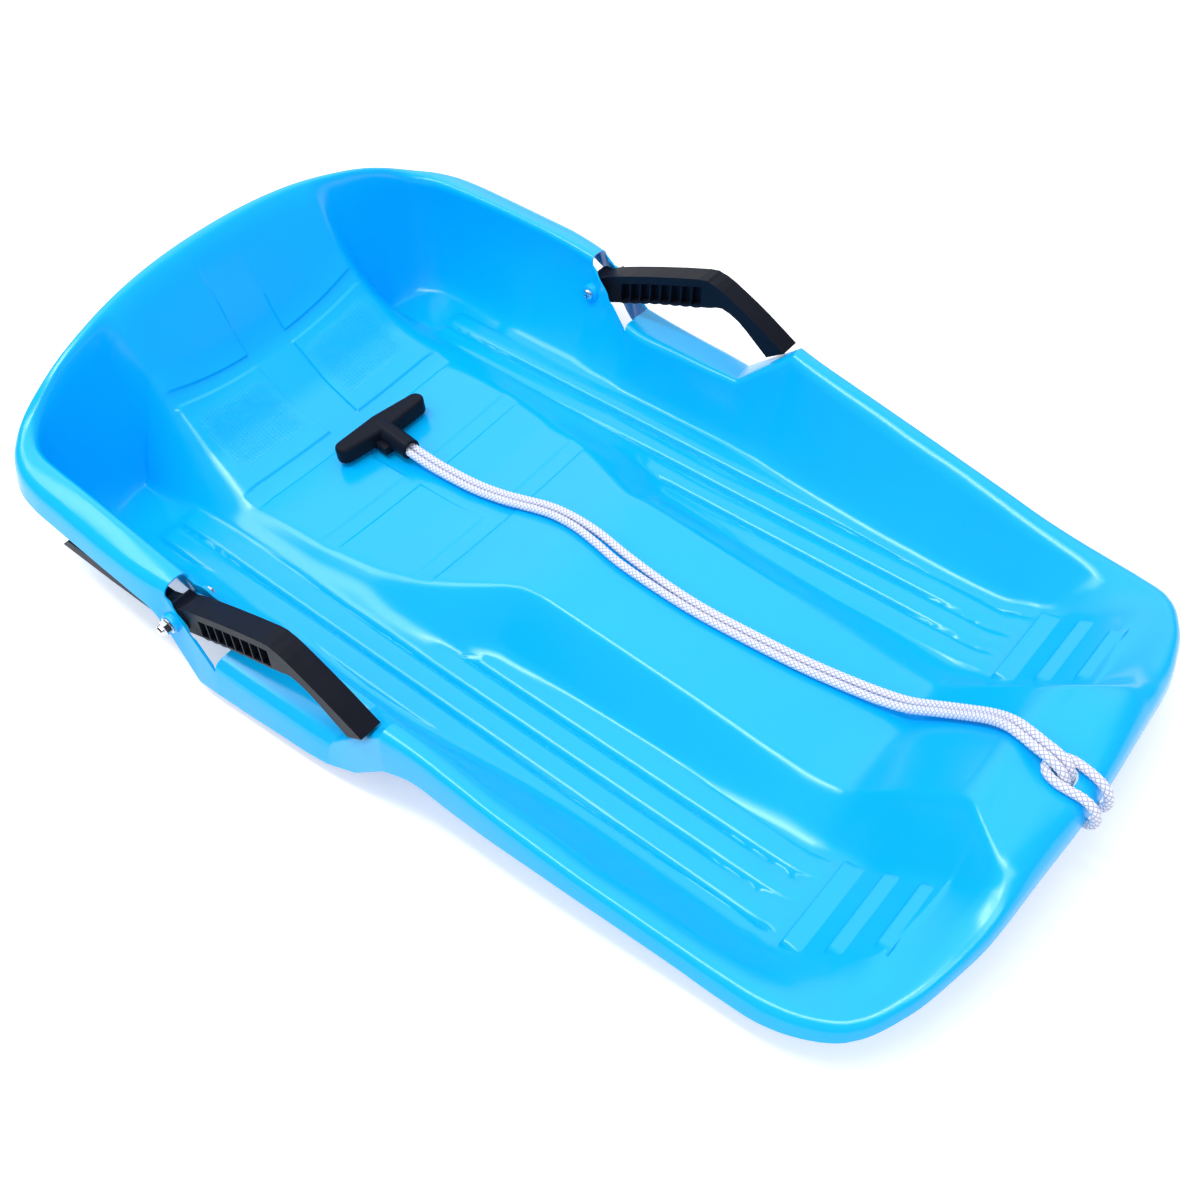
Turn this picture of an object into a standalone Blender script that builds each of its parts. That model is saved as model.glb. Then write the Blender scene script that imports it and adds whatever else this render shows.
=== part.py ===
"""A child's moulded plastic snow sled: one deep shell, two lever brakes and a doubled tow rope.

The shell is a lofted deck (seat, hump, ribbed leg channels, footrests) inside a ring of
walls, rim and hem.  Each brake lever turns on a bolt through the hollow side of the shell.
The sled stands on its channel bottoms, with its nose towards -Y.
"""
import math

import bmesh
import bpy
from mathutils import Matrix, Vector

# Driving sizes of the shell, in metres
HALF_WIDTH = 0.2375
HALF_LENGTH = 0.385
RIM_HEIGHT = 0.148
SHEET = 0.0022
RIM_ROUND = 0.007
RIM_ROUND_SHARE = 0.42
RIM_ROLL = 0.024
RIM_ROLL_SHARE = 0.30
RIM_ROLL_HEIGHTS = (0.62, 0.90)
RIM_CROWN = 0.001

# Ribs and footrests of the leg channels
RIB_FIRST = 0.0885
RIB_PITCH = 0.020
RIB_COUNT = 4
RIB_RISE = 0.0032
RIB_FADE = 0.012
BAR_RISE = 0.0058
BAR_SINK = 0.0014
BAR_FLUSH = 0.0005

# Softness of the deck's bends
LINE_EASE_SHARE = 0.020
EDGE_EASE = 0.004
BACK_EASE = 0.016
BACK_EASE_SHARES = (0.52, 0.76)
FOOT_EASE = 0.008

# Hole for the rope behind the nose lip
ROPE_HOLE_WIDTH = 0.0175
ROPE_HOLE_LENGTH = 0.0095
ROPE_HOLE_DEPTH = 0.037
ROPE_HOLE_SHARES = (-0.0147, -0.952)

# Brake pivot, its moulded bosses and its fasteners
PIVOT_Y = 0.413 * HALF_LENGTH
PIVOT_Z = 0.392 * RIM_HEIGHT
INNER_BOSS_X = (0.8421 * HALF_WIDTH, 0.8817 * HALF_WIDTH)
OUTER_BOSS_X = (0.9587 * HALF_WIDTH, 0.9895 * HALF_WIDTH)
BOSS_RADIUS = 0.0075
SHANK_RADIUS = 0.0025
HOLE_GAP = 0.0004
FIT_GAP = 0.0003
HEAD_RADIUS = 0.0047
HEAD_DEPTH = 0.0028
HEAD_SHARES = ((0, 0.62), (0.2, 0.86), (0.55, 1), (1, 1))
DRIVE_ARM = 0.0024
DRIVE_WIDTH = 0.0009
DRIVE_DEPTH = 0.0014
WASHER_RADIUS = 0.0062
WASHER_DEPTH = 0.0010
NUT_RADIUS = 0.0056
NUT_DEPTH = 0.0040
DOME_RADIUS = 0.0044
DOME_DEPTH = 0.0040
DOME_WALL = 0.0012
BOLT_IN_DOME = 0.0013

# Brake lever
LEVER_SIDE_GAP = 0.0010
LEVER_INNER_X = INNER_BOSS_X[1] + LEVER_SIDE_GAP
LEVER_WIDTH = OUTER_BOSS_X[0] - LEVER_SIDE_GAP - LEVER_INNER_X
LEVER_LENGTH = 0.187
LEVER_HEIGHT = 0.0545
LEVER_ROUND = 0.0008
HUB_RADIUS = 0.0105
GRIP_FLANGE = 0.0062
GRIP_RECESS = 0.0055
GRIP_POCKET_COUNT = 8
GRIP_RIB_WIDTH = 0.0012
GRIP_RIB_LEAN = 0.002
GRIP_LIP = 0.0018
SCALLOP_DEPTH = 0.0010
SCALLOP_STEPS = 4

# Tow rope, handle and knot
ROPE_DIAMETER = 0.006
HANDLE_LENGTH = 0.086
HANDLE_WIDTH = 0.020
HANDLE_HEIGHT = 0.0150
HANDLE_END_SHARE = 0.72
HANDLE_ROUND = 0.003
HANDLE_REST_GAP = 0.0038
HANDLE_X = 0.0295 * HALF_WIDTH
HANDLE_Y = 0.5558 * HALF_LENGTH
HANDLE_TURN = math.radians(-5.0)
NECK_LENGTH = 0.0285
NECK_ROOT_RADIUS = 0.0088
NECK_TIP_RADIUS = 0.0082
BORE_RADIUS = 0.0067
POCKET_RADIUS = 0.0072
POCKET_LENGTH = 0.0150
POCKET_FROM_TIP = 0.0095
KNOT_RADIUS = 0.0069
GUSSET_SIZE = (0.009, 0.014, 0.0070)
ROPE_STEP = 0.018
HANDLE_END_STEPS = 8

# Steps of the turned pieces
TURN_STEPS = 24
BOSS_SIDES = 16
DOME_RINGS = 4

# Rings of the shell's mesh
DECK_COLUMNS = 17
GROOVE_COLUMN_SHARE = 0.053
EDGE_COLUMN = 5
FOOT_COLUMN = 7
COLUMN_GAP = 0.0015
ROW_BEND_SHARE = 0.20
WALL_STEP_SHARES = (0.08, 0.22, 0.42, 0.68)
STRAIGHT_STATIONS = (9, 10, 15, 16)
MIDDLE_PLANE = (-1, 1, 1)
OPEN_STATIONS = (9, 11)
EXTRA_ROWS = (24.5, 26.5)

# Deck lines: (share of the half length, share of the height or of the half width)
MIDDLE_HEIGHT_SHARES = (
    (-1.026, 0.527), (-0.990, 0.547), (-0.901, 0.584), (-0.857, 0.588), (-0.668, 0.155),
    (-0.605, 0.145), (-0.377, 0.209), (-0.039, 0.280), (0.034, 0.257), (0.195, 0.149),
    (0.299, 0.101), (0.623, 0.088), (0.753, 0.189), (0.862, 0.392), (0.953, 1.000),
)
EDGE_HEIGHT_SHARES = (
    (-1.026, 0.527), (-0.990, 0.541), (-0.917, 0.574), (-0.883, 0.595), (-0.857, 0.588),
    (-0.668, 0.162), (-0.605, 0.149), (-0.377, 0.209), (-0.039, 0.280), (0.034, 0.257),
    (0.195, 0.169), (0.299, 0.122), (0.623, 0.108), (0.753, 0.230), (0.839, 0.429),
    (0.961, 0.986),
)
EDGE_HALF_WIDTH_SHARES = (
    (-1.026, 0.362), (-0.953, 0.328), (-0.883, 0.232), (-0.855, 0.198), (-0.668, 0.215),
    (-0.506, 0.229), (0.013, 0.240), (0.174, 0.352), (0.226, 0.375), (0.429, 0.429),
    (0.662, 0.442), (0.849, 0.413), (0.961, 0.417),
)
FOOT_HALF_WIDTH_SHARES = (
    (-1.026, 0.371), (-0.870, 0.349), (-0.727, 0.341), (-0.592, 0.362), (0.000, 0.406),
    (0.117, 0.509), (0.403, 0.543), (0.688, 0.564), (0.909, 0.573),
)
FLOOR_RISE_SHARES = (
    (-1.026, 0.672), (-0.896, 0.389), (-0.756, 0.098), (-0.668, 0.000), (0.909, 0.000),
)

# Footrest bars: rear and front edges as shares of the half length, ends of the half width
BAR_EDGE_SHARES = ((-0.724, -0.768), (-0.792, -0.826), (-0.852, -0.882))
BAR_END_SHARES = ((0.350, 0.664), (0.352, 0.640), (0.362, 0.592))
RIB_END_SHARES = (-0.722, 0.755)

# Stations: number, then shares for floor (x, y), inner crest (x, y, z), outer crest (x, y, z),
# hem (flare of the half width, drop of the height) and wall (belly, soft foot)
REAR_STATION_SHARES = (
    (0, (0.000, 0.883), (0.000, 0.951, 0.990), (0.000, 0.984, 1.000), (0.027, 0.128), (0, 0)),
    (5, (0.417, 0.883), (0.417, 0.939, 0.943), (0.421, 0.964, 0.954), (0.025, 0.128), (0, 0)),
    (7, (0.560, 0.886), (0.488, 0.935, 0.916), (0.495, 0.960, 0.926), (0.021, 0.128), (0.12, 0.06)),
    (12, (0.640, 0.879), (0.669, 0.923, 0.828), (0.686, 0.946, 0.826), (0.021, 0.128), (0.25, 0.14)),
    (17, (0.707, 0.857), (0.804, 0.897, 0.706), (0.855, 0.921, 0.696), (0.021, 0.125), (0.27, 0.14)),
)
SIDE_STATION_SHARES = (
    (0, (0.707, 0.857), (0.804, 0.897, 0.706), (0.855, 0.921, 0.696), (0.021, 0.125), (0.27, 0.14)),
    (1, (0.735, 0.826), (0.838, 0.873, 0.681), (0.909, 0.890, 0.666), (0.021, 0.122), (0.27, 0.14)),
    (2, (0.745, 0.787), (0.856, 0.836, 0.671), (0.945, 0.844, 0.645), (0.023, 0.118), (0.27, 0.14)),
    (3, (0.743, 0.743), (0.862, 0.790, 0.670), (0.960, 0.792, 0.632), (0.023, 0.115), (0.27, 0.14)),
    (4, (0.731, 0.694), (0.866, 0.725, 0.668), (0.965, 0.725, 0.622), (0.023, 0.111), (0.27, 0.14)),
    (5, (0.714, 0.644), (0.870, 0.657, 0.662), (0.970, 0.655, 0.608), (0.021, 0.108), (0.27, 0.14)),
    (6, (0.697, 0.582), (0.874, 0.587, 0.649), (0.973, 0.584, 0.597), (0.021, 0.108), (0.27, 0.14)),
    (7, (0.686, 0.506), (0.877, 0.506, 0.630), (0.973, 0.506, 0.588), (0.021, 0.128), (0.27, 0.14)),
    (8, (0.682, 0.449), (0.878, 0.449, 0.610), (0.965, 0.452, 0.580), (0.027, 0.162), (0.27, 0.14)),
    (9, (0.682, 0.418), (0.877, 0.417, 0.595), (0.957, 0.421, 0.577), (0.036, 0.277), (0.27, 0.14)),
    (10, (0.684, 0.364), (0.844, 0.358, 0.459), (0.971, 0.369, 0.419), (0.034, 0.345), (0.2, 0.14)),
    (11, (0.688, 0.306), (0.813, 0.301, 0.338), (0.981, 0.317, 0.274), (0.023, 0.189), (0.2, 0.14)),
    (12, (0.697, 0.262), (0.802, 0.262, 0.338), (0.976, 0.257, 0.262), (0.021, 0.182), (0.12, 0.14)),
    (13, (0.705, 0.169), (0.802, 0.169, 0.338), (0.967, 0.161, 0.253), (0.023, 0.155), (0.12, 0.14)),
    (14, (0.705, 0.086), (0.802, 0.081, 0.338), (0.960, 0.083, 0.249), (0.023, 0.142), (0.12, 0.14)),
    (15, (0.701, 0.010), (0.804, 0.010, 0.341), (0.954, 0.042, 0.245), (0.025, 0.128), (0.12, 0.14)),
    (16, (0.693, -0.039), (0.838, -0.042, 0.453), (0.943, -0.025, 0.405), (0.023, 0.216), (0.06, 0.14)),
    (17, (0.682, -0.091), (0.867, -0.094, 0.561), (0.930, -0.092, 0.561), (0.017, 0.223), (0.06, 0.14)),
    (18, (0.674, -0.138), (0.856, -0.140, 0.530), (0.918, -0.138, 0.547), (0.017, 0.182), (0.04, 0.14)),
    (19, (0.657, -0.221), (0.846, -0.216, 0.484), (0.910, -0.226, 0.507), (0.018, 0.169), (0.04, 0.14)),
    (20, (0.642, -0.299), (0.843, -0.294, 0.439), (0.905, -0.304, 0.466), (0.018, 0.149), (0.04, 0.14)),
    (21, (0.634, -0.377), (0.834, -0.374, 0.402), (0.898, -0.382, 0.429), (0.018, 0.122), (0.04, 0.14)),
    (22, (0.629, -0.468), (0.825, -0.473, 0.351), (0.888, -0.465, 0.392), (0.019, 0.105), (0.04, 0.14)),
    (23, (0.627, -0.558), (0.812, -0.556, 0.320), (0.874, -0.564, 0.351), (0.019, 0.095), (0.04, 0.14)),
    (24, (0.629, -0.636), (0.801, -0.634, 0.289), (0.863, -0.642, 0.316), (0.019, 0.088), (0.04, 0.14)),
    (25, (0.636, -0.714), (0.794, -0.712, 0.272), (0.855, -0.717, 0.292), (0.019, 0.088), (0.04, 0.14)),
    (26, (0.638, -0.782), (0.787, -0.782, 0.274), (0.845, -0.787, 0.282), (0.019, 0.081), (0.04, 0.14)),
    (27, (0.629, -0.834), (0.768, -0.839, 0.293), (0.823, -0.842, 0.299), (0.019, 0.074), (0.04, 0.14)),
    (28, (0.606, -0.865), (0.731, -0.883, 0.328), (0.783, -0.896, 0.338), (0.015, 0.068), (0.02, 0.12)),
)
FRONT_STATION_SHARES = (
    (17, (0.606, -0.865), (0.731, -0.883, 0.328), (0.783, -0.896, 0.338), (0.015, 0.068), (0.02, 0.12)),
    (15, (0.539, -0.879), (0.636, -0.922, 0.389), (0.669, -0.944, 0.395), (0.011, 0.064), (0, 0.1)),
    (12, (0.472, -0.886), (0.522, -0.939, 0.443), (0.547, -0.969, 0.443), (0.008, 0.064), (0, 0.1)),
    (10, (0.404, -0.890), (0.425, -0.948, 0.490), (0.446, -0.982, 0.480), (0.008, 0.068), (0, 0.08)),
    (7, (0.345, -0.891), (0.362, -0.951, 0.534), (0.387, -0.986, 0.510), (0.008, 0.074), (0, 0.05)),
    (5, (0.244, -0.891), (0.328, -0.952, 0.568), (0.303, -0.989, 0.534), (0.008, 0.074), (0, 0)),
    (0, (0.000, -0.883), (0.000, -0.958, 0.568), (0.000, -0.994, 0.547), (0.011, 0.074), (0, 0)),
)

# Lever outline seen from the side: shares of the lever's length and height from its pivot
LEVER_TOP_SHARES = (
    (-0.987, 0.352), (-0.877, 0.587), (-0.797, 0.743), (-0.679, 0.941), (-0.620, 0.991),
    (-0.561, 0.972), (-0.305, 0.642), (-0.107, 0.358), (-0.043, 0.248),
)
LEVER_CLAW_SHARES = (
    (0.075, -0.028), (0.155, -0.156), (0.460, -0.211), (0.727, -0.239), (0.791, -0.440),
    (0.460, -0.450), (0.118, -0.413), (0.032, -0.312),
)
LEVER_BOTTOM_SHARES = (
    (-0.127, -0.081), (-0.316, 0.191), (-0.513, 0.440), (-0.620, 0.569), (-0.679, 0.651),
    (-0.762, 0.550), (-0.838, 0.342), (-0.903, 0.154),
)
# Recess in the grip's side: rear and front ends along the grip, as shares of the length
GRIP_RECESS_SHARES = (-0.130, -0.572)

# Route of the doubled rope: middle of the pair (x, y, z), half the space between its strands
ROPE_ROUTE = (
    (0.0046, 0.1850, 0.0247, 0.00325),
    (0.0038, 0.1755, 0.0246, 0.00325),
    (0.0042, 0.1650, 0.0228, 0.00330),
    (0.0056, 0.1480, 0.0196, 0.00330),
    (0.0072, 0.1150, 0.0194, 0.00330),
    (0.0085, 0.0870, 0.0238, 0.00330),
    (0.0105, 0.0650, 0.0288, 0.00340),
    (0.0120, 0.0450, 0.0341, 0.00350),
    (0.0115, 0.0270, 0.0386, 0.00350),
    (0.0085, 0.0050, 0.0433, 0.00360),
    (0.0050, -0.0150, 0.0452, 0.00410),
    (0.0015, -0.0400, 0.0436, 0.00430),
    (0.0000, -0.0750, 0.0405, 0.00360),
    (0.0005, -0.1070, 0.0378, 0.00330),
    (0.0040, -0.1450, 0.0348, 0.00330),
    (0.0090, -0.1820, 0.0312, 0.00330),
    (0.0145, -0.2100, 0.0284, 0.00340),
    (0.0195, -0.2360, 0.0278, 0.00350),
    (0.0205, -0.2560, 0.0340, 0.00340),
    (0.0200, -0.2740, 0.0460, 0.00330),
    (0.0185, -0.2900, 0.0582, 0.00330),
    (0.0142, -0.3100, 0.0756, 0.00330),
    (0.0088, -0.3238, 0.0868, 0.00330),
    (0.0040, -0.3355, 0.0918, 0.00330),
    (0.0002, -0.3455, 0.0942, 0.00330),
    (-0.0025, -0.3545, 0.0955, 0.00330),
    (-0.0035, -0.3625, 0.0922, 0.00330),
    (-0.0035, -0.3665, 0.0848, 0.00330),
    (-0.0035, -0.3668, 0.0766, 0.00330),
)

# Route of the hitch round the nose lip: from below the hole, round the lip and back
HITCH_ROUTE = (
    (-0.0068, -0.3668, 0.0762),
    (-0.0068, -0.3669, 0.0722),
    (-0.0078, -0.3698, 0.0674),
    (-0.0094, -0.3765, 0.0646),
    (-0.0110, -0.3840, 0.0648),
    (-0.0121, -0.3892, 0.0702),
    (-0.0126, -0.3893, 0.0776),
    (-0.0127, -0.3858, 0.0844),
    (-0.0128, -0.3792, 0.0878),
    (-0.0131, -0.3705, 0.0884),
    (-0.0128, -0.3630, 0.0886),
    (-0.0098, -0.3556, 0.0889),
    (-0.0035, -0.3530, 0.0890),
    (0.0028, -0.3556, 0.0889),
    (0.0058, -0.3630, 0.0886),
    (0.0054, -0.3705, 0.0884),
    (0.0038, -0.3792, 0.0878),
    (0.0028, -0.3858, 0.0844),
    (0.0024, -0.3893, 0.0776),
    (0.0022, -0.3892, 0.0702),
    (0.0016, -0.3840, 0.0648),
    (0.0010, -0.3765, 0.0646),
    (0.0002, -0.3698, 0.0674),
    (-0.0002, -0.3669, 0.0722),
    (-0.0002, -0.3668, 0.0762),
)


def eased_ramp(t, reach):
    """Zero up to -reach, t from reach on, and a parabola between them."""
    if t <= -reach:
        return 0.0
    if t >= reach:
        return t
    return (t + reach) ** 2 / (4 * reach)


def eased_line(t, points):
    """Value at t of the broken line through points, with its bends eased."""
    slopes = [(after[1] - before[1]) / (after[0] - before[0]) for before, after in zip(points, points[1:])]
    value = points[0][1] + slopes[0] * (t - points[0][0])
    for (place, _), before, after in zip(points[1:], slopes, slopes[1:]):
        value += (after - before) * eased_ramp(t - place, LINE_EASE_SHARE)
    return value


def smooth_step(t):
    """Rise smoothly from 0 to 1 as t goes from 0 to 1."""
    t = min(max(t, 0.0), 1.0)
    return t * t * (3 - 2 * t)


def soft_min(a, b, reach):
    """The smaller of two heights, blended where they differ by less than reach."""
    blend = max(reach - abs(a - b), 0.0) / reach
    return min(a, b) - blend * blend * reach / 4


def soft_max(a, b, reach):
    """The larger of two heights, blended where they differ by less than reach."""
    return -soft_min(-a, -b, reach)


def edge_half_width(y):
    """Half width of the seat's flat top, where its sides start to fall."""
    return eased_line(y / HALF_LENGTH, EDGE_HALF_WIDTH_SHARES) * HALF_WIDTH


def foot_half_width(y):
    """Half width of the seat's foot, where its sides meet the leg channels."""
    return eased_line(y / HALF_LENGTH, FOOT_HALF_WIDTH_SHARES) * HALF_WIDTH


def floor_height(y):
    """Height of the leg channel's upper face without its ribs: its underside rests at zero."""
    return SHEET + eased_line(y / HALF_LENGTH, FLOOR_RISE_SHARES) * RIM_HEIGHT


def rib_height(x, y):
    """Lift of the leg channel's ribs: convex bands between narrow valleys."""
    front, rear = (share * HALF_LENGTH for share in RIB_END_SHARES)
    fade = smooth_step((y - front) / RIB_FADE) * smooth_step((rear - y) / RIB_FADE)
    place = (x - RIB_FIRST) / RIB_PITCH
    if not 0 < place < RIB_COUNT:
        return 0.0
    valley = abs(place - round(place)) * 2
    return RIB_RISE * (1 - (1 - valley) ** 4) * fade


def deck_height(x, y):
    """Height of the deck's upper face: seat, backrest, hump, nose and leg channels."""
    floor = floor_height(y)
    middle = eased_line(y / HALF_LENGTH, MIDDLE_HEIGHT_SHARES) * RIM_HEIGHT
    edge = eased_line(y / HALF_LENGTH, EDGE_HEIGHT_SHARES) * RIM_HEIGHT
    edge_x = edge_half_width(y)
    top = middle + (edge - middle) * (x / edge_x) ** 2
    side = edge - (edge - floor) * (x - edge_x) / (foot_half_width(y) - edge_x)
    low, high = BACK_EASE_SHARES
    ease = EDGE_EASE + (BACK_EASE - EDGE_EASE) * smooth_step((y / HALF_LENGTH - low) / (high - low))
    return soft_max(soft_min(top, side, ease), floor + rib_height(x, y), FOOT_EASE)


def station_points(row):
    """Floor point, inner crest, outer crest, hem and wall form of one station, in metres."""
    _, floor, inner, outer, hem, form = row
    floor = Vector((floor[0] * HALF_WIDTH, floor[1] * HALF_LENGTH, 0))
    inner = Vector((inner[0] * HALF_WIDTH, inner[1] * HALF_LENGTH, inner[2] * RIM_HEIGHT))
    outer = Vector((outer[0] * HALF_WIDTH, outer[1] * HALF_LENGTH, outer[2] * RIM_HEIGHT))
    outward = Vector((outer.x - inner.x, outer.y - inner.y, 0)).normalized()
    hem = outer + outward * hem[0] * HALF_WIDTH - Vector((0, 0, hem[1] * RIM_HEIGHT))
    return floor, inner, outer, hem, Vector((*form, 0))


def rim_rows():
    """All stations of the half rim as (place, station points), in one run from the rear."""
    front_start = DECK_COLUMNS + SIDE_STATION_SHARES[-1][0]
    rows = [(row[0], station_points(row)) for row in REAR_STATION_SHARES]
    rows += [(DECK_COLUMNS + row[0], station_points(row)) for row in SIDE_STATION_SHARES[1:]]
    rows += [(front_start + DECK_COLUMNS - row[0], station_points(row)) for row in FRONT_STATION_SHARES[1:]]
    return rows


def heading(before, point, after):
    """Direction at a point of the smooth curve through its neighbours."""
    back = point - before
    ahead = after - point
    return (back / back.length_squared + ahead / ahead.length_squared).normalized()


def station_at(rows, place):
    """Station points at any place, on smooth curves through the stations or straight runs."""
    last = max(k for k in range(len(rows) - 1) if rows[k][0] <= place)
    start, end = rows[last][1], rows[last + 1][1]
    t = (place - rows[last][0]) / (rows[last + 1][0] - rows[last][0])
    straight = [DECK_COLUMNS + k for k in STRAIGHT_STATIONS]
    if rows[last][0] in straight:
        return [a.lerp(b, t) for a, b in zip(start, end)]
    mirror = Vector(MIDDLE_PLANE)
    before = rows[last - 1][1] if last else [point * mirror for point in end]
    after = rows[last + 2][1] if last + 2 < len(rows) else [point * mirror for point in start]
    points = []
    for a, b, c, d in zip(before[:-1], start, end, after):
        chord = c - b
        lead = chord if rows[last - 1][0] in straight else heading(a, b, c) * chord.length
        tail = chord if rows[last + 1][0] in straight else heading(b, c, d) * chord.length
        points.append(b.lerp(c, smooth_step(t)) + lead * t * (1 - t) ** 2 - tail * t * t * (1 - t))
    return points + [start[-1].lerp(end[-1], smooth_step(t))]


def row_places():
    """Places of the deck's rows, counted in side stations from the rear to the front."""
    return sorted([row[0] for row in SIDE_STATION_SHARES] + list(EXTRA_ROWS))


def rim_stations():
    """Station points all along the half rim: rear columns, side rows, then front columns."""
    rows = rim_rows()
    last = rows[-1][0]
    rear = [station_at(rows, i) for i in range(DECK_COLUMNS)]
    side = [station_at(rows, DECK_COLUMNS + place) for place in row_places()]
    front = [station_at(rows, last - i) for i in reversed(range(DECK_COLUMNS))]
    return rear, side, front


def column_x(i, y, side_x):
    """Half width of one deck column: seat columns, foot, rib lines, side wall."""
    groove = GROOVE_COLUMN_SHARE * HALF_WIDTH
    edge = edge_half_width(y)
    foot = foot_half_width(y)
    if i == 0:
        return 0.0
    if i <= EDGE_COLUMN:
        return groove + (edge - groove) * (i - 1) / (EDGE_COLUMN - 1)
    if i <= FOOT_COLUMN:
        return edge + (foot - edge) * (i - EDGE_COLUMN) / (FOOT_COLUMN - EDGE_COLUMN)
    rib_line = RIB_FIRST + (i - FOOT_COLUMN - 1) * RIB_PITCH / 2
    beside_foot = foot + (i - FOOT_COLUMN) * COLUMN_GAP
    beside_wall = side_x - (DECK_COLUMNS - i) * COLUMN_GAP
    return min(max(rib_line, beside_foot), beside_wall)


def deck_points(rear, side, front):
    """Points of the half deck, row by row, blended into the rear and front rows."""
    last = DECK_COLUMNS
    rear_row = [points[0] for points in rear] + [side[0][0]]
    front_row = [side[-1][0]] + [points[0] for points in front]
    front_row.reverse()
    length = side[0][0].y - side[-1][0].y
    rows = []
    for floor, *_ in side:
        rear_blend = smooth_step(1 - (side[0][0].y - floor.y) / (length * ROW_BEND_SHARE))
        front_blend = smooth_step(1 - (floor.y - side[-1][0].y) / (length * ROW_BEND_SHARE))
        row = []
        for i in range(last + 1):
            y = floor.y + (rear_row[i].y - rear_row[last].y) * rear_blend
            y += (front_row[i].y - front_row[last].y) * front_blend
            x = column_x(i, y, floor.x)
            x += (rear_row[i].x - column_x(i, rear_row[i].y, rear_row[last].x)) * rear_blend
            x += (front_row[i].x - column_x(i, front_row[i].y, front_row[last].x)) * front_blend
            row.append(Vector((x, y, deck_height(x, y))))
        rows.append(row)
    return rows


def arc(before, corner, after, reaches):
    """Three points of the rounded corner between two edges, from its reach along each."""
    start = corner + (before - corner).normalized() * reaches[0]
    end = corner + (after - corner).normalized() * reaches[1]
    return [start, (start + corner * 2 + end) / 4, end]


def ring_points(foot, station):
    """Points from the deck's edge up the wall, over the rounded rim and down the hem."""
    _, inner, outer, hem, form = station
    belly, softness, _ = form
    wall = []
    for t in WALL_STEP_SHARES:
        plan = t + belly * 4 * t * (1 - t)
        rise = eased_ramp(t - softness, softness) / (1 - softness)
        wall.append(Vector((foot.x + (inner.x - foot.x) * plan, foot.y + (inner.y - foot.y) * plan,
                            foot.z + (inner.z - foot.z) * rise)))
    crown = (inner + outer) / 2 + Vector((0, 0, RIM_CROWN))
    reach = min(RIM_ROUND, (outer - inner).length * RIM_ROUND_SHARE)
    low, high = RIM_ROLL_HEIGHTS
    roll = reach + (RIM_ROLL - reach) * smooth_step((inner.z / RIM_HEIGHT - low) / (high - low))
    roll = min(roll, (inner - foot).length * RIM_ROLL_SHARE)
    return wall + arc(wall[-1], inner, crown, (roll, reach)) + arc(crown, outer, hem, (reach, reach)) + [hem]


def half_shell():
    """Half of the shell's upper face: the deck patch and the rings around it."""
    rear, side, front = rim_stations()
    rows = deck_points(rear, side, front)
    bm = bmesh.new()
    bmesh.ops.create_grid(bm, x_segments=DECK_COLUMNS, y_segments=len(rows) - 1, size=1.0)
    bm.verts.ensure_lookup_table()
    grid = [bm.verts[k * (DECK_COLUMNS + 1):(k + 1) * (DECK_COLUMNS + 1)] for k in range(len(rows))]
    for verts, points in zip(grid, rows):
        for vert, point in zip(verts, points):
            vert.co = point
    outline = grid[0] + [row[-1] for row in grid[1:]] + grid[-1][-2::-1]
    stations = rear + side + front
    columns = [ring_points(vert.co.copy(), station) for vert, station in zip(outline, stations)]
    side_start = len(rear)
    places = row_places()
    ring = outline
    rim_faces = []
    for step in range(len(columns[0])):
        edges = [bm.edges.get(pair) for pair in zip(ring, ring[1:])]
        made = bmesh.ops.extrude_edge_only(bm, edges=edges)["geom"]
        made_verts = {item for item in made if isinstance(item, bmesh.types.BMVert)}
        next_ring = []
        for vert in ring:
            next_ring.append(next(edge.other_vert(vert) for edge in vert.link_edges
                                  if edge.other_vert(vert) in made_verts))
        for vert, column in zip(next_ring, columns):
            vert.co = column[step]
        wall_steps = len(WALL_STEP_SHARES)
        if wall_steps < step < len(columns[0]) - 1:
            for k, place in enumerate(places[:-1]):
                if OPEN_STATIONS[0] <= place < OPEN_STATIONS[1]:
                    edge = bm.edges.get((next_ring[side_start + k], next_ring[side_start + k + 1]))
                    rim_faces += edge.link_faces
        ring = next_ring
    bmesh.ops.delete(bm, geom=list(set(rim_faces)), context="FACES")
    bmesh.ops.recalc_face_normals(bm, faces=bm.faces)
    return bm


def new_material(name, colour, roughness, metallic=0.0):
    """A Principled material with a flat colour."""
    material = bpy.data.materials.new(name)
    material.use_nodes = True
    shader = material.node_tree.nodes["Principled BSDF"]
    shader.inputs["Base Color"].default_value = (*colour, 1.0)
    shader.inputs["Roughness"].default_value = roughness
    shader.inputs["Metallic"].default_value = metallic
    material.diffuse_color = (*colour, 1.0)
    return material


def place_mesh(name, bm, collection, material=None):
    """Make an object of a bmesh in a collection."""
    mesh = bpy.data.meshes.new(name)
    bm.to_mesh(mesh)
    bm.free()
    obj = bpy.data.objects.new(name, mesh)
    collection.objects.link(obj)
    if material:
        mesh.materials.append(material)
    else:
        obj.display_type = "WIRE"
        obj.hide_render = True
    return obj


def add_boolean(obj, operation, other):
    """Join another object to this one, or cut it out."""
    modifier = obj.modifiers.new(operation.title(), "BOOLEAN")
    modifier.operation = operation
    modifier.object = other
    return modifier


def add_bevel(obj, width, segments=2, angle=math.radians(40)):
    """Round an object's edges sharper than an angle."""
    modifier = obj.modifiers.new("Rounded edges", "BEVEL")
    modifier.width = width
    modifier.segments = segments
    modifier.limit_method = "ANGLE"
    modifier.angle_limit = angle
    return modifier


def smooth(obj, angle=math.radians(35)):
    """Shade a mesh smooth, with its sharper edges kept."""
    obj.data.shade_smooth()
    obj.data.set_sharp_from_angle(angle=angle)


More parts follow.
